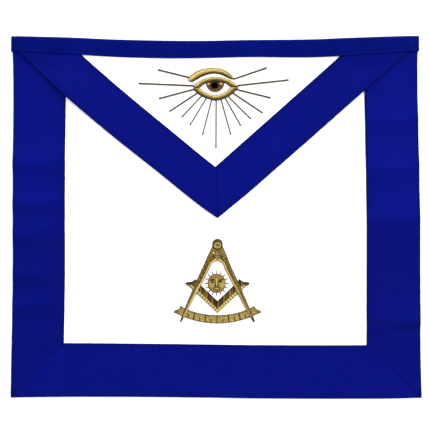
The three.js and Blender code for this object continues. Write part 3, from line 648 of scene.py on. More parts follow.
class Ribbon:
    """A ribbon over the edge of a cloth, between rows of points on its outer and inner edge."""

    def __init__(self, outer, inner, width, under, thick, along, level, ends=(True, True)):
        self.outer, self.inner, self.width = outer, inner, width
        self.level = level + 0 * along
        self.under, self.along, self.ends = under, along, ends
        self.low = thick + GAP
        self.high = self.low + RIBBON_THICK

    def from_ends(self):
        """Distance from the nearest mitred end."""
        far = np.full(len(self.along), 99.0)
        for mitred, edge in zip(self.ends, (self.along[0], self.along[-1])):
            if mitred:
                far = np.minimum(far, np.abs(self.along - edge))
        return far

    def lift(self, inward):
        """Height of the seams, mitres and small waves over the plain face."""
        far = self.from_ends()
        from_inner = self.width - inward
        turned = 0.16 * (1 - smooth(inward, *TURNED_END))
        seams = -0.16 * line(inward, SEAM, 0.45) - 0.12 * line(from_inner, INNER_SEAM, 0.5)
        pucker = 0.04 * np.sin(self.along / 2.1) * line(inward, SEAM, 2.5)
        waves = 0.06 * np.sin(self.along / 9.3 + inward / 14) + 0.04 * np.sin(self.along / 5.1 - inward / 11)
        fade = smooth(inward, 0, 6) * smooth(from_inner, 0, 6)
        mitre = 0.12 * line(far, 3, 1.6) - 0.4 * np.exp(-(far / 0.8) ** 1.5)
        return turned + seams + pucker + waves * fade + mitre

    def at(self, inward, rise):
        spot = lerp(self.outer, self.inner, inward / self.width)
        return np.column_stack([spot, self.under(*spot.T) + rise])

    def face(self, inward, rise=0.0):
        return self.at(inward, self.high + self.lift(inward) + rise)

    def mesh(self):
        """Rings of the ribbon, its weave coordinates, its tone and the points on a ring's front."""
        width = self.width
        places = []
        rings = []

        def add(inward, spots):
            places.append(inward)
            rings.append(spots)

        for inward, rise in UNDER_RIM:
            add(inward, self.at(inward, rise))
        for turn in RIM_TURNS:
            inward = RIM * (1 - math.cos(turn))
            add(inward, self.at(inward, self.high + self.lift(RIM) - RIM + RIM * math.sin(turn)))
        for inward in [*FACE[FACE < width - INNER_REACH], *(width - INNER_FACE)]:
            add(inward, self.face(inward))
        add(width - 0.25, self.face(width - 0.25, -0.18))
        add(width, self.at(width, self.low + 0.45))
        front = len(rings)
        for inward in [width - 0.2, *np.linspace(width - 4, 1.6, 8), 1.0]:
            add(inward, self.at(inward, self.low))
        add(0.8, self.at(0.8, 0.05))
        rings, flat = swept(rings, places, self.along)
        across = np.array(places)
        # Painted shade: darker in the seam grooves, at the rolled edges and in the mitred joints
        seams = 0.5 * line(across, SEAM, 0.5) + 0.35 * line(width - across, INNER_SEAM, 0.5)
        edges = 0.95 * line(across, 0, 1.9) + 0.9 * line(width - across, 0, 1.7)
        edges = edges + 0.25 * np.exp((across - width) / 3.5)
        mitre = 0.6 * line(self.from_ends(), 0, 0.9)
        tone = np.clip(1 - (seams + edges)[None] - mitre[:, None], 0, 1) * self.level[:, None]
        return rings, flat, tone, front

    def seams(self):
        """Lines of points that its two rows of stitches follow."""
        return [self.face(inward, STITCH_RISE) for inward in (SEAM, self.width - INNER_SEAM)]

    def piece(self, name, nodes):
        rings, flat, tone, front = self.mesh()
        return rings_piece(name, rings, RIBBON, "blue_ribbon", nodes, flat, tone, 60, front=front)


def stitches(name, lines):
    """Thread stitches along lines of points, which sink into the cloth at both ends."""
    share = np.array([-1, -0.8, 0, 0.8, 1])
    girth = np.array([0.3, 0.85, 1, 0.85, 0.3]) * STITCH_RADIUS
    turn = np.linspace(0, TAU, STITCH_SIDES, endpoint=False)[:, None]
    up = np.array([0, 0, 1.0])
    points = []
    for spots in lines:
        run = run_of(spots)
        places = np.arange(STITCH_PITCH / 2, run[-1], STITCH_PITCH)
        way = points_at(places + 0.5, run, spots) - points_at(places - 0.5, run, spots)
        way /= np.linalg.norm(way, axis=1)[:, None]
        side = np.stack([-way[:, 1], way[:, 0], 0 * way[:, 0]], -1)[:, None, None]
        ahead = way[:, None] * share[None, :, None] * STITCH_LENGTH / 2
        middle = points_at(places, run, spots)[:, None] + ahead
        middle[..., 2] -= STITCH_SINK * share[None] ** 4
        around = girth[:, None, None] * (np.cos(turn) * side + np.sin(turn) * up)
        points.append((middle[:, :, None] + around).reshape(-1, 3))
    points = np.concatenate(points)
    index = np.arange(len(share) * len(turn)).reshape(len(share), len(turn))
    ends = [index[0].tolist(), index[-1].tolist()[::-1]]
    each = [quad[::-1] for quad in quads_of(index).tolist()] + ends
    faces = [[first + i for i in face] for first in range(0, len(points), index.size) for face in each]
    make(name, points, faces, SEWING, "blue_ribbon", sharp=80)


def side_ribbon(side, name, node):
    """A side border, from its mitre at the hem to inside the waistband."""
    mitre = np.concatenate([MITRE_ROWS, FAN_ROWS])
    straight = (HEM_BORDER + FAN) / HEIGHT
    edge = 0.0 if side < 0 else 1.0
    width = BORDERS[side]
    share = mitre / mitre[-1]
    gap = MITRE_GAP / HEIGHT
    level_rows = steps(straight, TUCK_UP, ROW / HEIGHT)[1:]
    outer_up = np.concatenate([lerp(gap, straight, share), level_rows])
    inner_up = np.concatenate([lerp(corner_up(edge) + gap, straight, share), level_rows])
    outer = body_point(edge, outer_up)
    inner = body_point(edge - side * border_share(side, inner_up), inner_up)
    along = (outer_up + inner_up) / 2 * HEIGHT
    low, high = SIDE_TONES[side]
    # The lower part is drawn darker than the upper part, and the waves add painted light and shade.
    level = lerp(low, high, smooth(along, *TONE_CHANGE)) + painted_wave_shading(side, outer_up)
    ribbon = Ribbon(outer, inner, width, body_under, BODY_THICK, along, level, (True, False))
    piece = ribbon.piece(name, [node])
    stitches(name.replace("ribbon", "stitches"), ribbon.seams())


def hem_ribbon():
    """The hem border, between its mitres."""
    middle = steps(7, HEM_WIDTH - 7, ROW)
    place = np.concatenate([MITRE_ROWS, middle, HEM_WIDTH - MITRE_ROWS[::-1]])
    share = place / HEM_WIDTH
    left, right = (border_share(side, CORNER_UP) for side in (-1, 1))
    gap = MITRE_GAP / HEM_WIDTH
    outer = body_point(lerp(gap, 1 - gap, share), 0.0)
    across = lerp(left + gap, 1 - right - gap, share)
    inner = body_point(across, corner_up(across))
    ribbon = Ribbon(outer, inner, HEM_BORDER, body_under, BODY_THICK, place, HEM_TONE)
    piece = ribbon.piece("ribbon_hem", ["border_bottom"])
    stitches("stitches_hem", ribbon.seams())


def flap_rows(last, step):
    """Tuck and place along the edges of the flap's rows."""
    below = steps(0, last, step / FLAP_DEPTH)
    tuck = np.concatenate([[FLAP_TUCK, FLAP_TUCK / 2], 0 * below])
    return tuck, np.concatenate([[0, 0], below])


def flap_cloth():
    tuck, along = flap_rows(1 - 2 * TURN_IN / FLAP_DEPTH, FLAP_STEP)
    ends = []
    for side in (-1, 1):
        edge = flap_edge(side, along)
        edge[:, 0] += side * TURN_IN / flap_ways(side)[0][1]
        ends.append(edge)
    share = np.linspace(0, 1, FLAP_COLUMNS)[None, :, None]
    spots = lerp(ends[0][:, None], ends[1][:, None], share)
    top_x = lerp(FLAP_TOP[-1][0], FLAP_TOP[1][0], share[0, :, 0])
    top_y = lerp(FLAP_TOP[-1][1], FLAP_TOP[1][1], share[0, :, 0])
    sag = band_line(across_of(top_x)) - top_y
    spots[..., 1] += tuck[:, None] + sag[None] * ((1 - along) ** 2)[:, None]
    rings = cloth_rings(spots, flap_under, FLAP_THICK)
    piece = rings_piece("flap_cloth", rings, WHITE, "white_cloth", ["flap_panel"])


def flap_ribbon(side, name, node):
    length = float(np.linalg.norm(FLAP_TIP - FLAP_TOP[side]))
    fine = 1 - MITRE_ROWS[::-1] / length
    tuck, along = flap_rows(1 - FLAP_MITRE / length, FLAP_ROW)
    tuck = np.concatenate([tuck, 0 * fine])
    along = np.concatenate([along, fine])
    shift = np.stack([0 * along + side * MITRE_GAP, tuck], -1)
    outer = flap_edge(side, along) + shift
    inner = flap_inner(side, along) + shift
    place = along * length - tuck
    ribbon = Ribbon(outer, inner, FLAP_RIBBON, flap_under, FLAP_THICK, place, FLAP_TONES[side], (False, True))
    piece = ribbon.piece(name, [node])
    stitches(name.replace("ribbon", "stitches"), [seam[2:] for seam in ribbon.seams()])


# Places across the waistband's tape, from the lower edge of its back to that of its front
BAND_BACK = 14
BAND_FOLD = 16
BAND_FRONT = 18
BAND_END = 32
BAND_COLUMNS = 260
BAND_SEAM = 3.7  # over its lower edge


def waist_tape():
    """The waistband: its back, the fold over the top of the apron, and its front."""
    length = WAIST_WIDTH + 2 * BAND_OVERHANG
    share = np.linspace(0, 1, BAND_COLUMNS)
    x = WAIST_SHIFT + (share - 0.5) * length
    across = across_of(x)
    edge = band_line(across)
    fold = waist_line(across) - FOLD_DEPTH
    left = x < FLAP_TIP[0]
    outward = np.where(left, -x, x)
    inner = np.where(left, -flap_inner_start(-1)[0], flap_inner_start(1)[0])
    on_ribbon = smooth(outward, inner - 20, inner - 0.6)
    corner = np.where(left, -FLAP_TOP[-1][0], FLAP_TOP[1][0])
    past = smooth(outward, corner + 0.3, corner + 5)
    seat = flap_top(x, edge) + GAP + (RIBBON_THICK + GAP) * on_ribbon
    seat = seat - past * (FLAP_THICK + RIBBON_THICK + GAP)
    along = x - x[0]
    columns = []
    places = []

    def add(y, z, place):
        columns.append(np.stack([x, y, z + 0 * x], -1))
        places.append(place)

    def arc(deep, high, middle, turns):
        for turn in np.radians(turns):
            add(fold + deep * math.cos(turn), middle + high * math.sin(turn), BAND_FOLD)

    top = seat + BAND_THICK
    turns = np.linspace(-90, 90, 13)
    add(edge + 0.3, 0.0, 0)
    for up in (0.35, 0.7):
        add(lerp(edge, fold, up), 0.0, up * BAND_BACK)
    arc(FOLD_DEPTH, top / 2, top / 2, turns)
    for low in [*np.linspace(0.08, 0.55, 6), *np.linspace(0.6, 0.97, 16)]:
        down = (fold - edge) * (1 - low)
        lift = 0.1 * (1 - smooth(down, 3.3, 4.1)) - 0.24 * line(down, BAND_SEAM, 0.42)
        wave = 0.06 * np.sin(along / 7 + 2 * low) + 0.05 * np.sin(along / 3.7)
        place = lerp(BAND_FRONT, BAND_END, low)
        add(lerp(fold, edge, low), top + lift + wave * math.sin(math.pi * low), place)
    add(edge + 0.08, top - 0.15, BAND_END + 0.2)
    add(edge, top - 0.5, BAND_END + 0.6)
    front = len(columns)
    add(edge + 0.12, top - BAND_THICK + 0.05, BAND_END + 1)
    for up in (0.3, 0.65):
        add(lerp(edge, fold, up), top - BAND_THICK, BAND_END - 2)
    arc(FOLD_DEPTH - BAND_THICK, top / 2 - BAND_THICK, top / 2, turns[::-1])
    for up in (0.65, 0.3):
        add(lerp(edge, fold, up), BAND_THICK, 5)
    add(edge + 0.1, BAND_THICK, 0.5)
    add(edge, BAND_THICK / 2, 0.2)
    rings, flat = swept(columns, places, along)
    down = np.clip(rings[..., 1] - edge[:, None], 0, 99)
    upper = rings[..., 2] > (top / 2)[:, None]
    tone = 1 - 0.7 * line(down, BAND_SEAM, 0.5) * upper
    looks = (TAPE, "blue_ribbon", ["waistband"], flat, tone, 60)
    piece = rings_piece("waistband_tape", rings, *looks, front=front)


# Embroidery
FINE = 0.16  # step along a strip of it
STEP = 0.24  # step across it
SEWN_GAP = 0.5
SEWN_PITCH = 0.55  # of the wires laid across it
SEWN_SLANT = 0.5  # how far they lean along it for each millimetre across
GOLD_RISE = 1.6
FLAT_RISE = 1.0  # of work that other work crosses
LEG_RISE = 2.4
IRIS_RISE = 1.0
PUPIL_RISE = 0.5

# The eye, from the point that its rays spread from
EYE_DROP = 25.7
EYE_SHIFT = 0.5
IRIS_SHIFT = -0.5
IRIS_RADIUS = 9.4
IRIS_LEVEL = 2.0
IRIS_HEIGHT = 10.0
PUPIL_SHIFT = -0.9
PUPIL_RADIUS = 3.4
PUPIL_HEIGHT = 2.6
PUPIL_SINK = 1.6
LID_GAP = 0.75

# The emblem, from the hinge of the compasses
HINGE_SHIFT = 1.3
LEG_LENGTH = 86.2
LEG_SPREAD = math.radians(25.2)
LEG_WIDTH = 7.5
KNOB = 5.2
RING_DROP = 1.9
KNOB_REACH = 9
JOINT_GAP = 0.06
SQUARE_ARM = 42.8
SQUARE_WIDTH = 8.4
SQUARE_TILT = math.radians(43.3)
SQUARE_DROP = 69
ARC_RADIUS = 81.1
ARC_WIDTH = 7.7
ARC_SPREAD = math.radians(29.6)
ARC_OFFSET = 9.4
MARK = 11.5  # between two full marks on the arc
SUN_SHIFT = -0.8
SUN_DROP = 39.5
SUN_WIDE = 8.7
SUN_HIGH = 9.3
SUN_RAYS = 16
SUN_RAY_LENGTH = 2.8

EYE = np.array([WAIST_SHIFT + EYE_SHIFT, float(band_line(0.5)) - EYE_DROP])
EMBLEM_HEIGHT = KNOB + ARC_RADIUS + ARC_WIDTH - ARC_OFFSET
HINGE = np.array([HINGE_SHIFT, (FLAP_TIP[1] + HEM_BORDER + EMBLEM_HEIGHT) / 2 - KNOB])
SUN = HINGE + (SUN_SHIFT, -SUN_DROP)

RAYS = [
    # near end across and up, far end across and up, from the middle of the eye
    (19.8, 5.3, 50.8, 15.9), (23.0, -1.6, 72.7, 3.8), (22.3, -6.0, 54.5, -13.9),
    (18.2, -9.8, 46.7, -28.8), (13.4, -13.4, 35.0, -34.9), (10.2, -15.2, 25.0, -41.6),
    (5.8, -16.8, 15.2, -50.6), (0.6, -17.5, 0.4, -63.8), (-4.2, -17.0, -13.0, -50.8),
    (-9.9, -15.4, -25.4, -41.0), (-14.7, -12.9, -33.8, -33.2), (-19.0, -9.8, -45.8, -27.3),
    (-22.9, -5.9, -56.3, -14.7), (-22.5, -1.9, -76.4, 0.4), (-27.3, 6.6, -57.2, 13.9),
]
BROW = np.array([
    # along, upper x, upper y, lower x, lower y
    (0, -27.6, 3.7, -26.4, 2.3), (0.04, -27.4, 5.2, -24.0, 2.1), (0.14, -24.0, 8.2, -19.6, 4.5),
    (0.3, -18.6, 12.2, -14.2, 7.5), (0.48, -11.2, 14.4, -8.1, 9.9), (0.64, -2.6, 15.4, -1.9, 10.8),
    (0.78, 6.0, 14.2, 4.8, 10.0), (0.9, 12.6, 10.6, 11.2, 7.2), (1, 18.9, 5.0, 18.0, 4.0),
])
UPPER_LID = np.array([
    # along, outer x, outer y, inner x, inner y
    (0, -22.6, -3.9, -22.4, -4.1), (0.08, -20.9, -1.4, -16.6, -4.0), (0.2, -16.6, 1.9, -12.4, -0.7),
    (0.35, -10.7, 4.9, -7.8, 1.5), (0.5, -3.4, 6.6, -2.2, 2.8), (0.65, 4.4, 6.4, 3.8, 2.5),
    (0.8, 12.6, 4.0, 10.6, 0.5), (0.92, 19.2, 0.6, 15.2, -2.9), (1, 22.9, -3.0, 22.7, -3.3),
])
LOWER_LID = np.array([
    # along, inner x, inner y, outer x, outer y
    (0, -22.3, -4.6, -22.4, -5.0), (0.08, -16.6, -4.5, -20.6, -7.0), (0.2, -12.9, -7.3, -15.6, -10.9),
    (0.35, -8.0, -9.9, -8.9, -14.1), (0.5, -0.9, -11.9, -0.3, -16.2), (0.65, 6.3, -10.4, 8.2, -14.4),
    (0.8, 11.9, -7.1, 15.2, -10.7), (0.92, 15.3, -3.5, 20.2, -6.6), (1, 22.5, -3.7, 22.7, -4.1),
])
LEG = np.array([
    # along, outer and inner edge of the left leg, outer and inner edge of the right leg
    (0.045, 0.5, 0.95, 0.5, 0.95), (0.172, 0.5, 0.95, 0.473, 0.95), (0.23, 0.48, 0.413, 0.387, 0.467),
    (0.3, 0.46, 0.43, 0.373, 0.55), (0.4, 0.457, 0.43, 0.35, 0.49), (0.55, 0.437, 0.35, 0.357, 0.43),
    (0.75, 0.36, 0.227, 0.28, 0.353), (0.9, 0.247, 0.16, 0.207, 0.227), (1, 0.127, 0.09, 0.127, 0.13),
])
SQUARE_END = np.array([
    # along, outer, inner
    (0.84, 0, 1), (0.87, 0, 1.02), (0.9, 0, 1.12), (0.915, 0, 1.08), (0.925, 0, 0.8), (0.935, -0.02, 0.6),
    (0.955, -0.06, 0.45), (0.98, -0.1, 0.34), (1.01, -0.08, 0.12), (1.02, -0.03, 0),
])
ARC_END = np.array([
    # turn, inner, outer
    (0.85, 0, 1), (0.88, -0.04, 1), (0.905, -0.13, 1), (0.915, -0.06, 1), (0.922, 0.2, 1.01),
    (0.932, 0.44, 1.02), (0.95, 0.6, 1.03), (0.975, 0.72, 1.04), (1, 0.95, 1.03),
])
ROUNDED = np.array([
    # across, rise
    (0, 0.3), (0.08, 0.6), (0.2, 0.86), (0.5, 1), (0.8, 0.86), (0.92, 0.6), (1, 0.3),
])
LEDGED = np.array([
    # across, rise
    (0, 0.45), (0.06, 0.62), (0.28, 0.7), (0.34, 0.72), (0.4, 0.94), (0.6, 1), (0.9, 0.96),
    (0.96, 0.85), (1, 0.6),
])
FLAT = np.array([
    # across, rise
    (0, 0.6), (0.06, 0.9), (0.14, 1), (0.86, 1), (0.94, 0.9), (1, 0.6),
])


def between(a, b, step=STEP, grow=0.3):
    """Spots over the strip between two edges, which are moved apart by a little: rows along it, and
    columns across it a step apart."""
    over = b - a
    reach = np.linalg.norm(over, axis=1)[:, None]
    out = over / np.maximum(reach, 0.01) * (grow * smooth(reach, 0.1, 0.8))
    a, b = a - out, b + out
    share = np.linspace(0, 1, int(math.ceil((reach.max() + 2 * np.max(grow)) / step)) + 1)[None, :, None]
    return lerp(a[:, None], b[:, None], share)


class Grid:
    """Spots over a strip of raised work, with their places on it."""

    def __init__(self, spots):
        self.x, self.y = spots[..., 0], spots[..., 1]
        self.share = np.linspace(0, 1, spots.shape[1])[None]
        over = np.linalg.norm(np.diff(spots, axis=1), axis=2)
        self.across = np.concatenate([0 * over[:, :1], np.cumsum(over, axis=1)], axis=1)
        self.wide = self.across[:, -1:]
        self.along = run_of(spots[:, spots.shape[1] // 2])[:, None] + 0 * self.across
        self.edge = np.minimum(self.across, self.wide - self.across)
        self.ends = np.minimum(self.along, self.along[-1] - self.along)

    def shade_edges(self, tone, width=0.45, depth=0.75):
        """A tone with painted shade round the edges of the work, where its sides fall to the cloth."""
        near = np.minimum(self.edge, self.ends + 0.2)
        return tone * (1 - depth * np.exp(-(near / width) ** 2))


def grain(x, y, scale, seed=0.0):
    """An uneven pattern from -1 to 1 of a few crossed waves."""
    u, v = x / scale, y / scale
    a = np.sin(3.1 * u + 1.3 * v + seed) * np.sin(-1.7 * u + 2.9 * v + 1.1 + seed)
    b = np.sin(5.3 * u - 4.1 * v + 2.2 * seed + 0.4) * np.sin(4.7 * u + 5.9 * v + 2.0)
    return 0.55 * a + 0.45 * b


def raised_work(name, grid, surface, rise, profile, tone, nodes, material=GOLD, slot="gold_bullion",
                ridge=0.06, relief=0, under=0):
    """Padded work of wires laid across a strip. relief adds to its face, and under lifts its back."""
    x, y = grid.x, grid.y
    base = surface(x, y) + GAP
    taper = 0.35 + 0.65 * smooth(grid.wide, 0.2, 2.6)
    wires = np.sin(TAU * (grid.along + SEWN_SLANT * grid.across) / SEWN_PITCH)
    fade = smooth(grid.edge, 0.05, 0.5)
    height = (rise * read(profile, 1, grid.share) + relief) * taper + ridge * wires * fade
    back = base + under
    face = np.maximum(base + height, back + 0.1)
    rings = np.concatenate([np.dstack([x, y, face]), np.dstack([x, y, back])[:, ::-1]], axis=1)
    flat = np.dstack([grid.across, grid.along, 0 * x])
    flat = np.concatenate([flat, flat[:, ::-1]], axis=1)
    tone = np.clip(tone + 0 * x, 0, 1)
    # Its back and sides get painted shade.
    tone = np.concatenate([tone, 0.6 * tone[:, ::-1]], axis=1)
    rings_piece(name, rings, material, slot, nodes, flat, tone, 60)


def oval(middle, wide, high, top=None, rows=72):
    """Edges of an upright oval that may be cut off level with a curve."""
    share = np.linspace(0, 1, rows + 1)[1:-1]
    x = middle[0] - wide * np.cos(math.pi * share)
    rise = high * np.sin(math.pi * share)
    above = middle[1] + rise
    if top is not None:
        above = np.minimum(above, top(x))
    open_rows = above - middle[1] + rise > 0.05
    return np.stack([x, above], -1)[open_rows], np.stack([x, middle[1] - rise], -1)[open_rows]


CORD_SIDES = 12


def cord_piece(name, node, spots, level, radius, pitch, material, slot):
    """A cord of two twisted plies along spots, whose middle runs at a level over the floor."""
    points = np.column_stack([spots, level])
    ahead = np.gradient(points, axis=0)
    ahead /= np.linalg.norm(ahead, axis=1)[:, None]
    side = np.cross(ahead, (0, 0, 1.0))
    side /= np.linalg.norm(side, axis=1)[:, None]
    up = np.cross(side, ahead)
    along = run_of(points)[:, None]
    turn = np.linspace(0, TAU, CORD_SIDES, endpoint=False)[None]
    lobes = 0.8 + 0.2 * np.abs(np.cos(turn - math.pi * along / pitch))
    reach = (np.broadcast_to(radius, len(points))[:, None] * lobes)[..., None]
    around = np.cos(turn)[..., None] * side[:, None] + np.sin(turn)[..., None] * up[:, None]
    flat = np.dstack([turn / math.pi + 0 * lobes, along + 0 * lobes, 0 * lobes])
    rings_piece(name, points[:, None] + reach * around, material, slot, [node], flat, None, 70)


# The eye on the flap
def outlined_by(table, grow, clear):
    """A grid between the two edges of a table, given from the middle of the eye. It is grown all but
    at its ends."""
    share = np.linspace(0, 1, 300)
    edges = [np.stack([read(table, i, share), read(table, i + 1, share)], -1) for i in (1, 3)]
    run = run_of((edges[0] + edges[1]) / 2)
    even = np.interp(steps(0, run[-1], FINE), run, share)
    grow = grow * smooth(np.minimum(even, 1 - even), 0, clear)[:, None]
    a, b = (EYE + points_at(even, share, edge) for edge in edges)
    return Grid(between(a, b, STEP, grow))


def eyebrow():
    grid = outlined_by(BROW, 0.65, 0.05)
    share = grid.share
    # Painted highlight along the upper part, painted shade on the lower part, darker towards its right end,
    # and painted shade round its edges
    tone = 0.64 + 0.2 * line(share, 0.36, 0.2) - 0.1 * smooth(share, 0.5, 0.7)
    tone = tone - 0.36 * smooth(share, 0.66, 0.9) - 0.2 * smooth(grid.along, 30, 50)
    tone = tone + 0.14 * grain(grid.along, grid.across, 2.2)
    raised_work("brow", grid, flap_top, GOLD_RISE, ROUNDED, grid.shade_edges(tone, 0.45, 0.5), ["eyebrow"])


def eyelids():
    """Each lid is two rolls, with a painted gleam on one, a groove between them with painted shade in it, and
    painted shade on the other.
    """
    def lid(name, node, grid, tone, relief):
        tone = tone + 0.14 * grain(grid.along, grid.across, 2.0)
        raised_work(name, grid, flap_top, GOLD_RISE, ROUNDED, grid.shade_edges(tone, 0.5, 0.7), [node],
                    relief=relief)

    grid = outlined_by(UPPER_LID, 0.4, 0.2)
    share = grid.share
    tone = 0.74 + 0.1 * line(share, 0.26, 0.13) - 0.12 * line(share, 0.5, 0.07)
    tone = tone - 0.36 * smooth(share, 0.42, 0.64)
    lid("lid_upper", "upper_eyelid", grid, tone, -0.4 * line(share, 0.5, 0.07))
    grid = outlined_by(LOWER_LID, 0.5, 0.2)
    share = grid.share
    tone = 0.74 + 0.12 * line(share, 0.25, 0.15) - 0.16 * line(share, 0.42, 0.07)
    tone = tone - 0.44 * smooth(share, 0.46, 0.68)
    lid("lid_lower", "lower_eyelid", grid, tone, -0.4 * line(share, 0.42, 0.06))


def eyeball():
    """The iris under the upper lid, and the pupil on it."""
    middle = EYE + (IRIS_SHIFT, IRIS_LEVEL)
    dark = EYE + (PUPIL_SHIFT, -PUPIL_SINK)

    def under_lid(x):
        share = np.linspace(0, 1, 200)
        return EYE[1] + np.interp(x - EYE[0], read(UPPER_LID, 3, share), read(UPPER_LID, 4, share)) - LID_GAP

    grid = Grid(between(*oval(middle, IRIS_RADIUS, IRIS_HEIGHT, under_lid, 110), 0.2, 0.2))
    u, v = grid.x - dark[0], grid.y - dark[1]
    far = np.hypot(u, v)
    turn = np.arctan2(v, u)
    spokes = np.sin(turn * 34 + 2 * np.sin(turn * 5))
    # Painted glints beside and above the pupil
    glints = line(u, -6.1, 1.5) * line(v, 1.9, 1.1) + line(u, 6.5, 1.7) * line(v, 1.9, 1.0)
    glints = glints + 0.7 * line(u, 0.3, 1.4) * line(v, 3.9, 0.7)
    tone = 0.44 + 0.12 * spokes + 0.9 * glints - 0.3 * line(far, 3.2, 1.6)
    # Lighter low down; painted shadow of the lid along its top, and painted shade round its edge
    tone = tone + 0.12 * smooth(-v, 3, 5) - 0.3 * line(v, 4.5, 1.6)
    tone = tone * (1 - 0.75 * line(grid.edge, 0, 0.6))
    relief = 0.05 * spokes * smooth(far, 3, 4)
    raised_work("iris_thread", grid, flap_top, IRIS_RISE, FLAT, tone, ["iris"], IRIS, "brown_thread",
                ridge=0, relief=relief)

    def iris_top(x, y):
        return flap_top(x, y) + GAP + IRIS_RISE

    grid = Grid(between(*oval(dark, PUPIL_RADIUS, PUPIL_HEIGHT, None, 40), 0.2))
    raised_work("pupil_thread", grid, iris_top, PUPIL_RISE, ROUNDED, 0.2, ["pupil"], PUPIL, "black_thread",
                ridge=0.02)


def eye_rays():
    """Single twisted wires, each a little thicker at its outer end."""
    for i, (near_x, near_y, far_x, far_y) in enumerate(RAYS, 1):
        start, end = EYE + (near_x, near_y), EYE + (far_x, far_y)
        length = np.linalg.norm(end - start)
        reach = steps(-1.3, length + 0.4, 0.3)
        spots = start + (end - start) / length * reach[:, None]
        sideways = smooth(abs(end - start)[0] / length, 0.6, 0.95)
        radius = lerp(0.66, 0.88, sideways) + 0.22 * smooth(reach, length - 2.2, length - 0.4)
        radius = radius * (1 - 0.4 * smooth(reach, length - 0.1, length + 0.4))
        level = flap_top(*spots.T) + GAP + 0.6
        cord_piece(f"ray_wire_{i:02d}", f"eye_ray_{i:02d}", spots, level, radius, 1.3, WIRE, "dark_gold_wire")


# The emblem on the body
def leg_spot(side, along, outward):
    x = along * math.sin(LEG_SPREAD) + outward * math.cos(LEG_SPREAD)
    y = -along * math.cos(LEG_SPREAD) + outward * math.sin(LEG_SPREAD)
    return np.stack([HINGE[0] + side * x, HINGE[1] + y], -1)


def square_place(grid):
    """Place along the nearer arm of the square, and inwards from its outer edge."""
    across = np.abs(grid.x - HINGE[0])
    up = grid.y - (HINGE[1] - SQUARE_DROP)
    along = across * math.cos(SQUARE_TILT) + up * math.sin(SQUARE_TILT)
    return along, up * math.cos(SQUARE_TILT) - across * math.sin(SQUARE_TILT)


def arc_place(grid):
    """Angle along the quadrant and place outwards from its inner edge."""
    u = grid.x - HINGE[0]
    v = HINGE[1] + ARC_OFFSET - grid.y
    return np.arctan2(u, v), np.hypot(u, v) - ARC_RADIUS


def crossing(grid):
    """1 where a leg passes over the square or the quadrant, and 0 clear of them."""
    along, inward = square_place(grid)
    on_square = smooth(inward, -1.1, -0.6) * (1 - smooth(inward, SQUARE_WIDTH + 1.5, SQUARE_WIDTH + 2))
    turn, outward = arc_place(grid)
    on_arc = smooth(outward, -2, -1.5) * (1 - smooth(outward, ARC_WIDTH + 0.6, ARC_WIDTH + 1.1))
    return np.maximum(on_square * (along < SQUARE_ARM + 1), on_arc)


def leg_grid(side):
    """Spots over a leg, whose first row follows the knob and whose inner edge meets the other leg."""
    first = LEG[0][0] * LEG_LENGTH
    clear = KNOB + 0.12
    along = steps(first, LEG_LENGTH, FINE)[:, None]
    share = np.linspace(0, 1, 32)[None]
    joint = JOINT_GAP / math.cos(LEG_SPREAD)
    lean = math.tan(LEG_SPREAD)
    outer = LEG[0][1] * LEG_WIDTH
    start = np.sqrt(clear ** 2 - lerp(outer, joint - 0.43 * clear, share) ** 2)
    low = smooth(along, first, KNOB_REACH)
    along = lerp(start + (along - first) * (1 - low), along, low)
    place = along / LEG_LENGTH
    outer = read_straight(LEG, 2 + side, place) * LEG_WIDTH
    inner = -read_straight(LEG, 3 + side, place) * LEG_WIDTH
    inner = np.maximum(inner, joint - along * lean)
    spots = leg_spot(side, along, lerp(outer[:, :1], inner[:, -1:], share))
    return Grid(spots), along + 0 * share


def compass_leg(side, name, node):
    """A leg: a speckled blade with a bright inner edge, engraved scrolls by the hinge and a dark tip."""
    grid, along = leg_grid(side)
    share = grid.share
    x = side * (grid.x - HINGE[0])
    down = HINGE[1] - grid.y
    speckle = 0.4 * grain(grid.x, grid.y, 1.4, 0.7 * side) + 0.6 * grain(grid.y, grid.x, 2.6, 1.3 * side)
    low = smooth(along, 40, 50)
    blade = 0.38 + 0.42 * speckle * (1 - 0.6 * low) + 0.05 * low
    bright = smooth(share, 0.66 - 0.18 * low, 0.72 - 0.14 * low)
    tone = lerp(blade, 0.8 - 0.07 * (1 + side) * low, bright) - 0.35 * line(share, 0.62 - 0.16 * low, 0.05)
    above = 1 - smooth(along, 14.0, 16.0)
    scroll = grain(x, down * 0.8, 1.5, 1.7)
    engraved = 0.46 + 0.4 * scroll + 0.4 * line(x, 0, 0.75) * smooth(down, 6, 8)
    engraved = engraved - 0.4 * line(x, 3.7, 1.3) * line(down, 12.6, 1.6)
    engraved = engraved - 0.3 * line(x, 1.6, 0.9) * line(down, 7.4, 1.2)
    lip = smooth(share, 0.66, 0.8) * smooth(along, 13.0, 15.5)
    tone = lerp(tone, engraved, above * (1 - lip))
    if side < 0:
        tone = tone + 0.9 * line(x, 3.8, 0.75) * line(down, 9.0, 0.75)
    tone = tone - 0.5 * smooth(along, LEG_LENGTH - 7, LEG_LENGTH - 2)
    relief = 0.1 * speckle * (share < 0.6) * (1 - low) + 0.15 * scroll * above
    # Painted shade round its edges, less of it over the middle by the hinge
    tone = grid.shade_edges(tone, 0.42 - 0.14 * low, 0.75 * (1 - above * line(x, 0, 1.0)))
    raised_work(name, grid, body_top, LEG_RISE, LEDGED, tone, [node], relief=relief,
                under=(FLAT_RISE + GAP) * crossing(grid), ridge=0.04)


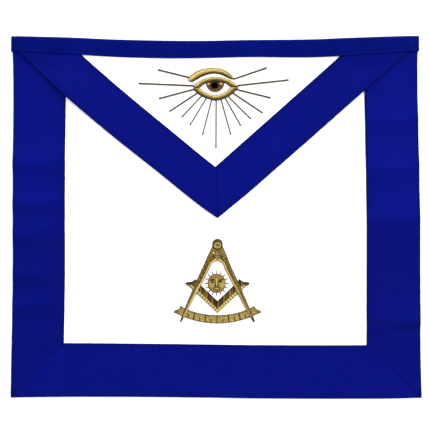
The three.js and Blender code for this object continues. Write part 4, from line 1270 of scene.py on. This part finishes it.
def compass_knob():
    """The head of the hinge, with a bright ring below its middle."""
    grid = Grid(between(*oval(HINGE - (0, 0.15), KNOB, KNOB), 0.2, 0.1))
    u, v = grid.x - HINGE[0], grid.y - (HINGE[1] - RING_DROP)
    far = np.hypot(u, v)
    rim = np.hypot(u, v - RING_DROP)
    ring = line(far, 2.9, 0.6)
    tone = 0.2 + 0.12 * grain(u, v, 1.6) + (0.75 - 0.12 * smooth(v, -1, 3)) * ring
    tone = tone + (0.4 - 0.2 * smooth(v, -0.5, 1.5)) * (1 - smooth(far, 2.0, 2.6))
    tone = tone + 0.12 * line(rim, 4.2, 0.4)
    # Painted shade round its rim
    tone = tone * (1 - 0.7 * line(rim, KNOB, 0.5))
    relief = 0.25 * ring - 0.25 * (1 - smooth(far, 1.4, 2.4))
    raised_work("knob", grid, body_top, LEG_RISE, ROUNDED, tone, ["compass_knob"], relief=relief, ridge=0.02)


def square():
    """The square: a hatched face, a bright ruler along its outer edge and leaves at its ends."""
    knee, last = SQUARE_END[0][0], SQUARE_END[-1][0]
    plain = np.linspace(0, knee, int(knee * SQUARE_ARM / FINE))
    share = np.concatenate([plain, np.linspace(knee, last, 70)[1:]])
    outer = read_straight(SQUARE_END, 1, share) * SQUARE_WIDTH
    inner = read_straight(SQUARE_END, 2, share) * SQUARE_WIDTH
    outer_along = share * SQUARE_ARM
    mitre = SQUARE_WIDTH * math.tan(SQUARE_TILT)
    inner_along = np.where(share > knee, outer_along, lerp(mitre, knee * SQUARE_ARM, share / knee))

    def spot(side, along, inward):
        x = along * math.cos(SQUARE_TILT) - inward * math.sin(SQUARE_TILT)
        y = along * math.sin(SQUARE_TILT) + inward * math.cos(SQUARE_TILT)
        return np.stack([HINGE[0] + side * x, HINGE[1] - SQUARE_DROP + y], -1)

    edges = []
    for along, inward in ((outer_along, outer), (inner_along, inner)):
        left = spot(-1, along, inward)[::-1]
        edges.append(np.concatenate([left, spot(1, along, inward)[1:]]))
    grid = Grid(between(*edges))
    along, inward = square_place(grid)
    x = grid.x - HINGE[0]
    part = inward / SQUARE_WIDTH
    hatch = 0.55 * np.sin(TAU * x / 2.9) + 0.45 * np.sin(TAU * x / 6.1 + 0.8)
    dark = 0.24 + 0.26 * hatch + 0.12 * line(along, 22, 7) - 0.1 * line(part, 0.95, 0.2)
    dark = dark + 0.1 * grain(x, inward, 1.6)
    ticks = line((along + 0.9) % 3.0, 1.5, 0.42)
    leaf = smooth(along, 0.87 * SQUARE_ARM, 0.93 * SQUARE_ARM)
    ruler = 0.85 - 0.55 * ticks - 0.35 * leaf
    limit = 0.32 - 0.16 * leaf
    tone = lerp(ruler, dark, smooth(part, limit, limit + 0.06))
    tone = tone - 0.35 * smooth(along, 0.94 * SQUARE_ARM, SQUARE_ARM)
    relief = 0.08 * hatch * (part > 0.4) - 0.2 * line(part, 0.34, 0.05)
    # Painted shade round its edges
    raised_work("square_gold", grid, body_top, FLAT_RISE, FLAT, grid.shade_edges(tone, 0.42, 0.75), ["square"],
                relief=relief, ridge=0.03)


def quadrant():
    """The graduated arc, with a leaf at each end."""
    knee = ARC_END[0][0]
    leaf = np.linspace(knee, 1, 70)
    turns = np.concatenate([-leaf[::-1], steps(-knee, knee, 0.0038)[1:-1], leaf])
    inner = read_straight(ARC_END, 1, np.abs(turns)) * ARC_WIDTH
    outer = read_straight(ARC_END, 2, np.abs(turns)) * ARC_WIDTH
    angle = turns * ARC_SPREAD
    middle = HINGE + (0, ARC_OFFSET)

    def spot(outward):
        reach = ARC_RADIUS + outward
        return middle + np.stack([reach * np.sin(angle), -reach * np.cos(angle)], -1)

    grid = Grid(between(spot(inner), spot(outer)))
    turn, outward = arc_place(grid)
    place = turn * (ARC_RADIUS + ARC_WIDTH / 2)
    part = outward / ARC_WIDTH
    inside = np.abs(place) < 36
    full = line((place + 0.6 + MARK / 2) % MARK, MARK / 2, 0.5) * inside * (np.abs(place) < 30)
    half = line((place + 0.6) % MARK, MARK / 2, 0.45) * smooth(part, 0.35, 0.5) * inside
    tone = 0.66 + 0.24 * grain(grid.x, grid.y, 1.7)
    tone = tone + 0.12 * grain(grid.y, grid.x, 3.4) - 0.25 * line(part, 0, 0.14)
    tone = tone - 0.6 * full - 0.5 * half
    tone = tone - 0.3 * smooth(np.abs(turn), 0.82 * ARC_SPREAD, ARC_SPREAD)
    relief = -0.25 * full - 0.15 * half
    # Painted shade round its edges
    raised_work("quadrant_gold", grid, body_top, FLAT_RISE, FLAT, grid.shade_edges(tone, 0.45, 0.75),
                ["quadrant"], relief=relief, ridge=0.04)


def sun_face():
    grid = Grid(between(*oval(SUN, SUN_WIDE + 0.3, SUN_HIGH, None, 100), 0.18))
    x, y = grid.x - SUN[0], grid.y - SUN[1]
    pair = np.abs(x)
    right = x > 0

    def spot(u, v, wide, high):
        return line(pair, u, wide) * line(y, v, high)

    brow_line = np.where(right, 2.5 + 0.38 * (pair - 2.2), 3.6 - 0.1 * (pair - 4) ** 2)
    brow = line(y, brow_line, 0.6) * smooth(pair, 1.4, 2.2) * (1 - smooth(pair, 6.2, 7))
    eye = np.where(right, spot(3.8, 1.6, 1.5, 0.6), spot(4.3, 1.2, 1.1, 0.9))
    ridge = line(x, -0.2, 0.6) * smooth(y, -2.2, -1.2) * (1 - smooth(y, 4.2, 5.6))
    flank = line(pair, 1.5 - 0.12 * (y + 2), 0.5) * smooth(y, -3, -2) * (1 - smooth(y, 1.4, 3.2))
    nostril = spot(1.2, -2.8, 0.9, 0.6)
    smile = np.hypot(x / 3.2, (y + 4.3) / 2.9)
    mouth = line(smile, 1, 0.16) * (y < -4.1) + line(y, -4.3, 0.4) * (1 - smooth(pair, 2.6, 3.4))
    lips = 1 - smooth(smile, 0.5, 0.8)
    cheek = spot(5.2, -2.2, 1.9, 1.7)
    # Painted highlight on the nose ridge and cheeks, painted shade beside the nose and in the nostrils; the
    # brows, eyes and mouth are dark features, the lower lip lighter and the top darker
    tone = 0.64 + 0.1 * grain(x, y, 2.0) + 0.1 * cheek + 0.26 * ridge - 0.12 * smooth(y, 2, 5)
    tone = tone - 0.75 * brow - 0.75 * eye - 0.55 * flank - 0.6 * nostril
    tone = lerp(tone, 0.78, lips * (y < -4.8)) - 0.42 * mouth
    # Painted shade round its rim
    tone = tone * (1 - 0.5 * line(np.hypot(x / SUN_WIDE, y / SUN_HIGH), 1, 0.05))
    relief = 0.22 * ridge + 0.14 * cheek + 0.12 * brow - 0.2 * eye + 0.14 * lips - 0.2 * mouth
    raised_work("sun", grid, body_top, GOLD_RISE, ROUNDED, tone, ["sun_face"], relief=relief, ridge=0)


def sun_rays():
    """Short twisted wires round the sun."""
    reach = steps(0, SUN_RAY_LENGTH, 0.2)
    radius = 0.5 - 0.15 * smooth(reach, SUN_RAY_LENGTH - 0.4, SUN_RAY_LENGTH)
    for i in range(SUN_RAYS):
        turn = i * TAU / SUN_RAYS
        way = np.array([-math.sin(turn), math.cos(turn)])
        start = SUN + way * (SUN_WIDE, SUN_HIGH) + way * SEWN_GAP
        spots = start + way * reach[:, None]
        level = body_top(*spots.T) + GAP + 0.3
        names = f"sun_wire_{i + 1:02d}", f"sun_ray_{i + 1:02d}"
        cord_piece(*names, spots, level, radius, 0.9, STEEL, "gold_bullion")


SIDES = [(-1, "left"), (1, "right")]

body_cloth()
for side, word in SIDES:
    side_ribbon(side, f"ribbon_{word}", f"border_{word}")
hem_ribbon()
flap_cloth()
for side, word in SIDES:
    flap_ribbon(side, f"flap_ribbon_{word}", f"flap_border_{word}")
waist_tape()
eyebrow()
eyelids()
eyeball()
eye_rays()
for side, word in SIDES:
    compass_leg(side, f"leg_{word}", f"compass_leg_{word}")
compass_knob()
square()
quadrant()
sun_face()
sun_rays()


# Floor, light and camera
FLOOR_SIZE = 60  # metres
SKY_STRENGTH = 2.38
SKY_WAY = (0.47, 0.79, 0.39)
SUN_STRENGTH = 1.1
SUN_ANGLE = math.radians(40)
SUN_WAY = (0.1, 0.45, 0.89)
VIEW_WIDTH = 430
VIEW_MIDDLE = (-1.2, 2.3)
VIEW_LEVEL = 3  # over the floor, of the plane where the frame has that width
LENS = 85
SENSOR = 36


def plain_floor():
    n = Nodes(bpy.data.materials.new("pale floor"))
    where = n.add("ShaderNodeTexCoord", out="Object")
    base = n.ramp(n.noise(where, 3.0), [(0.3, color(247, 247, 247)), (0.7, color(252, 252, 252))])
    bpy.ops.mesh.primitive_plane_add(size=FLOOR_SIZE)
    floor = bpy.context.object
    floor.name = "floor"
    floor.data.materials.append(n.finish(base, 0.9, Specular_IOR_Level=0.1))


def studio():
    """A bright room that is brightest towards the upper right, and a wide, weak sun from there."""
    scene = bpy.context.scene
    scene.world = bpy.data.worlds.new("studio")
    n = Nodes(scene.world)
    where = n.add("ShaderNodeTexCoord", out="Generated")
    toward = n.add("ShaderNodeVectorMath", "Value", {0: where, 1: SKY_WAY}, operation="DOT_PRODUCT")
    background = n.tree.nodes["Background"]
    n.put(n.math("MULTIPLY_ADD", toward, 0.5, 0.5), background.inputs["Color"])
    n.put(SKY_STRENGTH, background.inputs["Strength"])
    data = bpy.data.lights.new("sun", "SUN")
    data.energy = SUN_STRENGTH
    data.angle = SUN_ANGLE
    lamp = bpy.data.objects.new("sun", data)
    lamp.rotation_euler = (-Vector(SUN_WAY)).to_track_quat("-Z", "Y").to_euler()
    scene.collection.objects.link(lamp)
    scene.view_settings.view_transform = "Standard"
    scene.view_settings.look = "None"


def camera():
    """Straight down on the apron."""
    data = bpy.data.cameras.new("camera")
    data.lens = LENS
    data.sensor_width = SENSOR
    eye = bpy.data.objects.new("camera", data)
    eye.location = np.array([*VIEW_MIDDLE, VIEW_WIDTH * LENS / SENSOR + VIEW_LEVEL]) * MM
    bpy.context.scene.collection.objects.link(eye)
    bpy.context.scene.camera = eye


plain_floor()
studio()
camera()
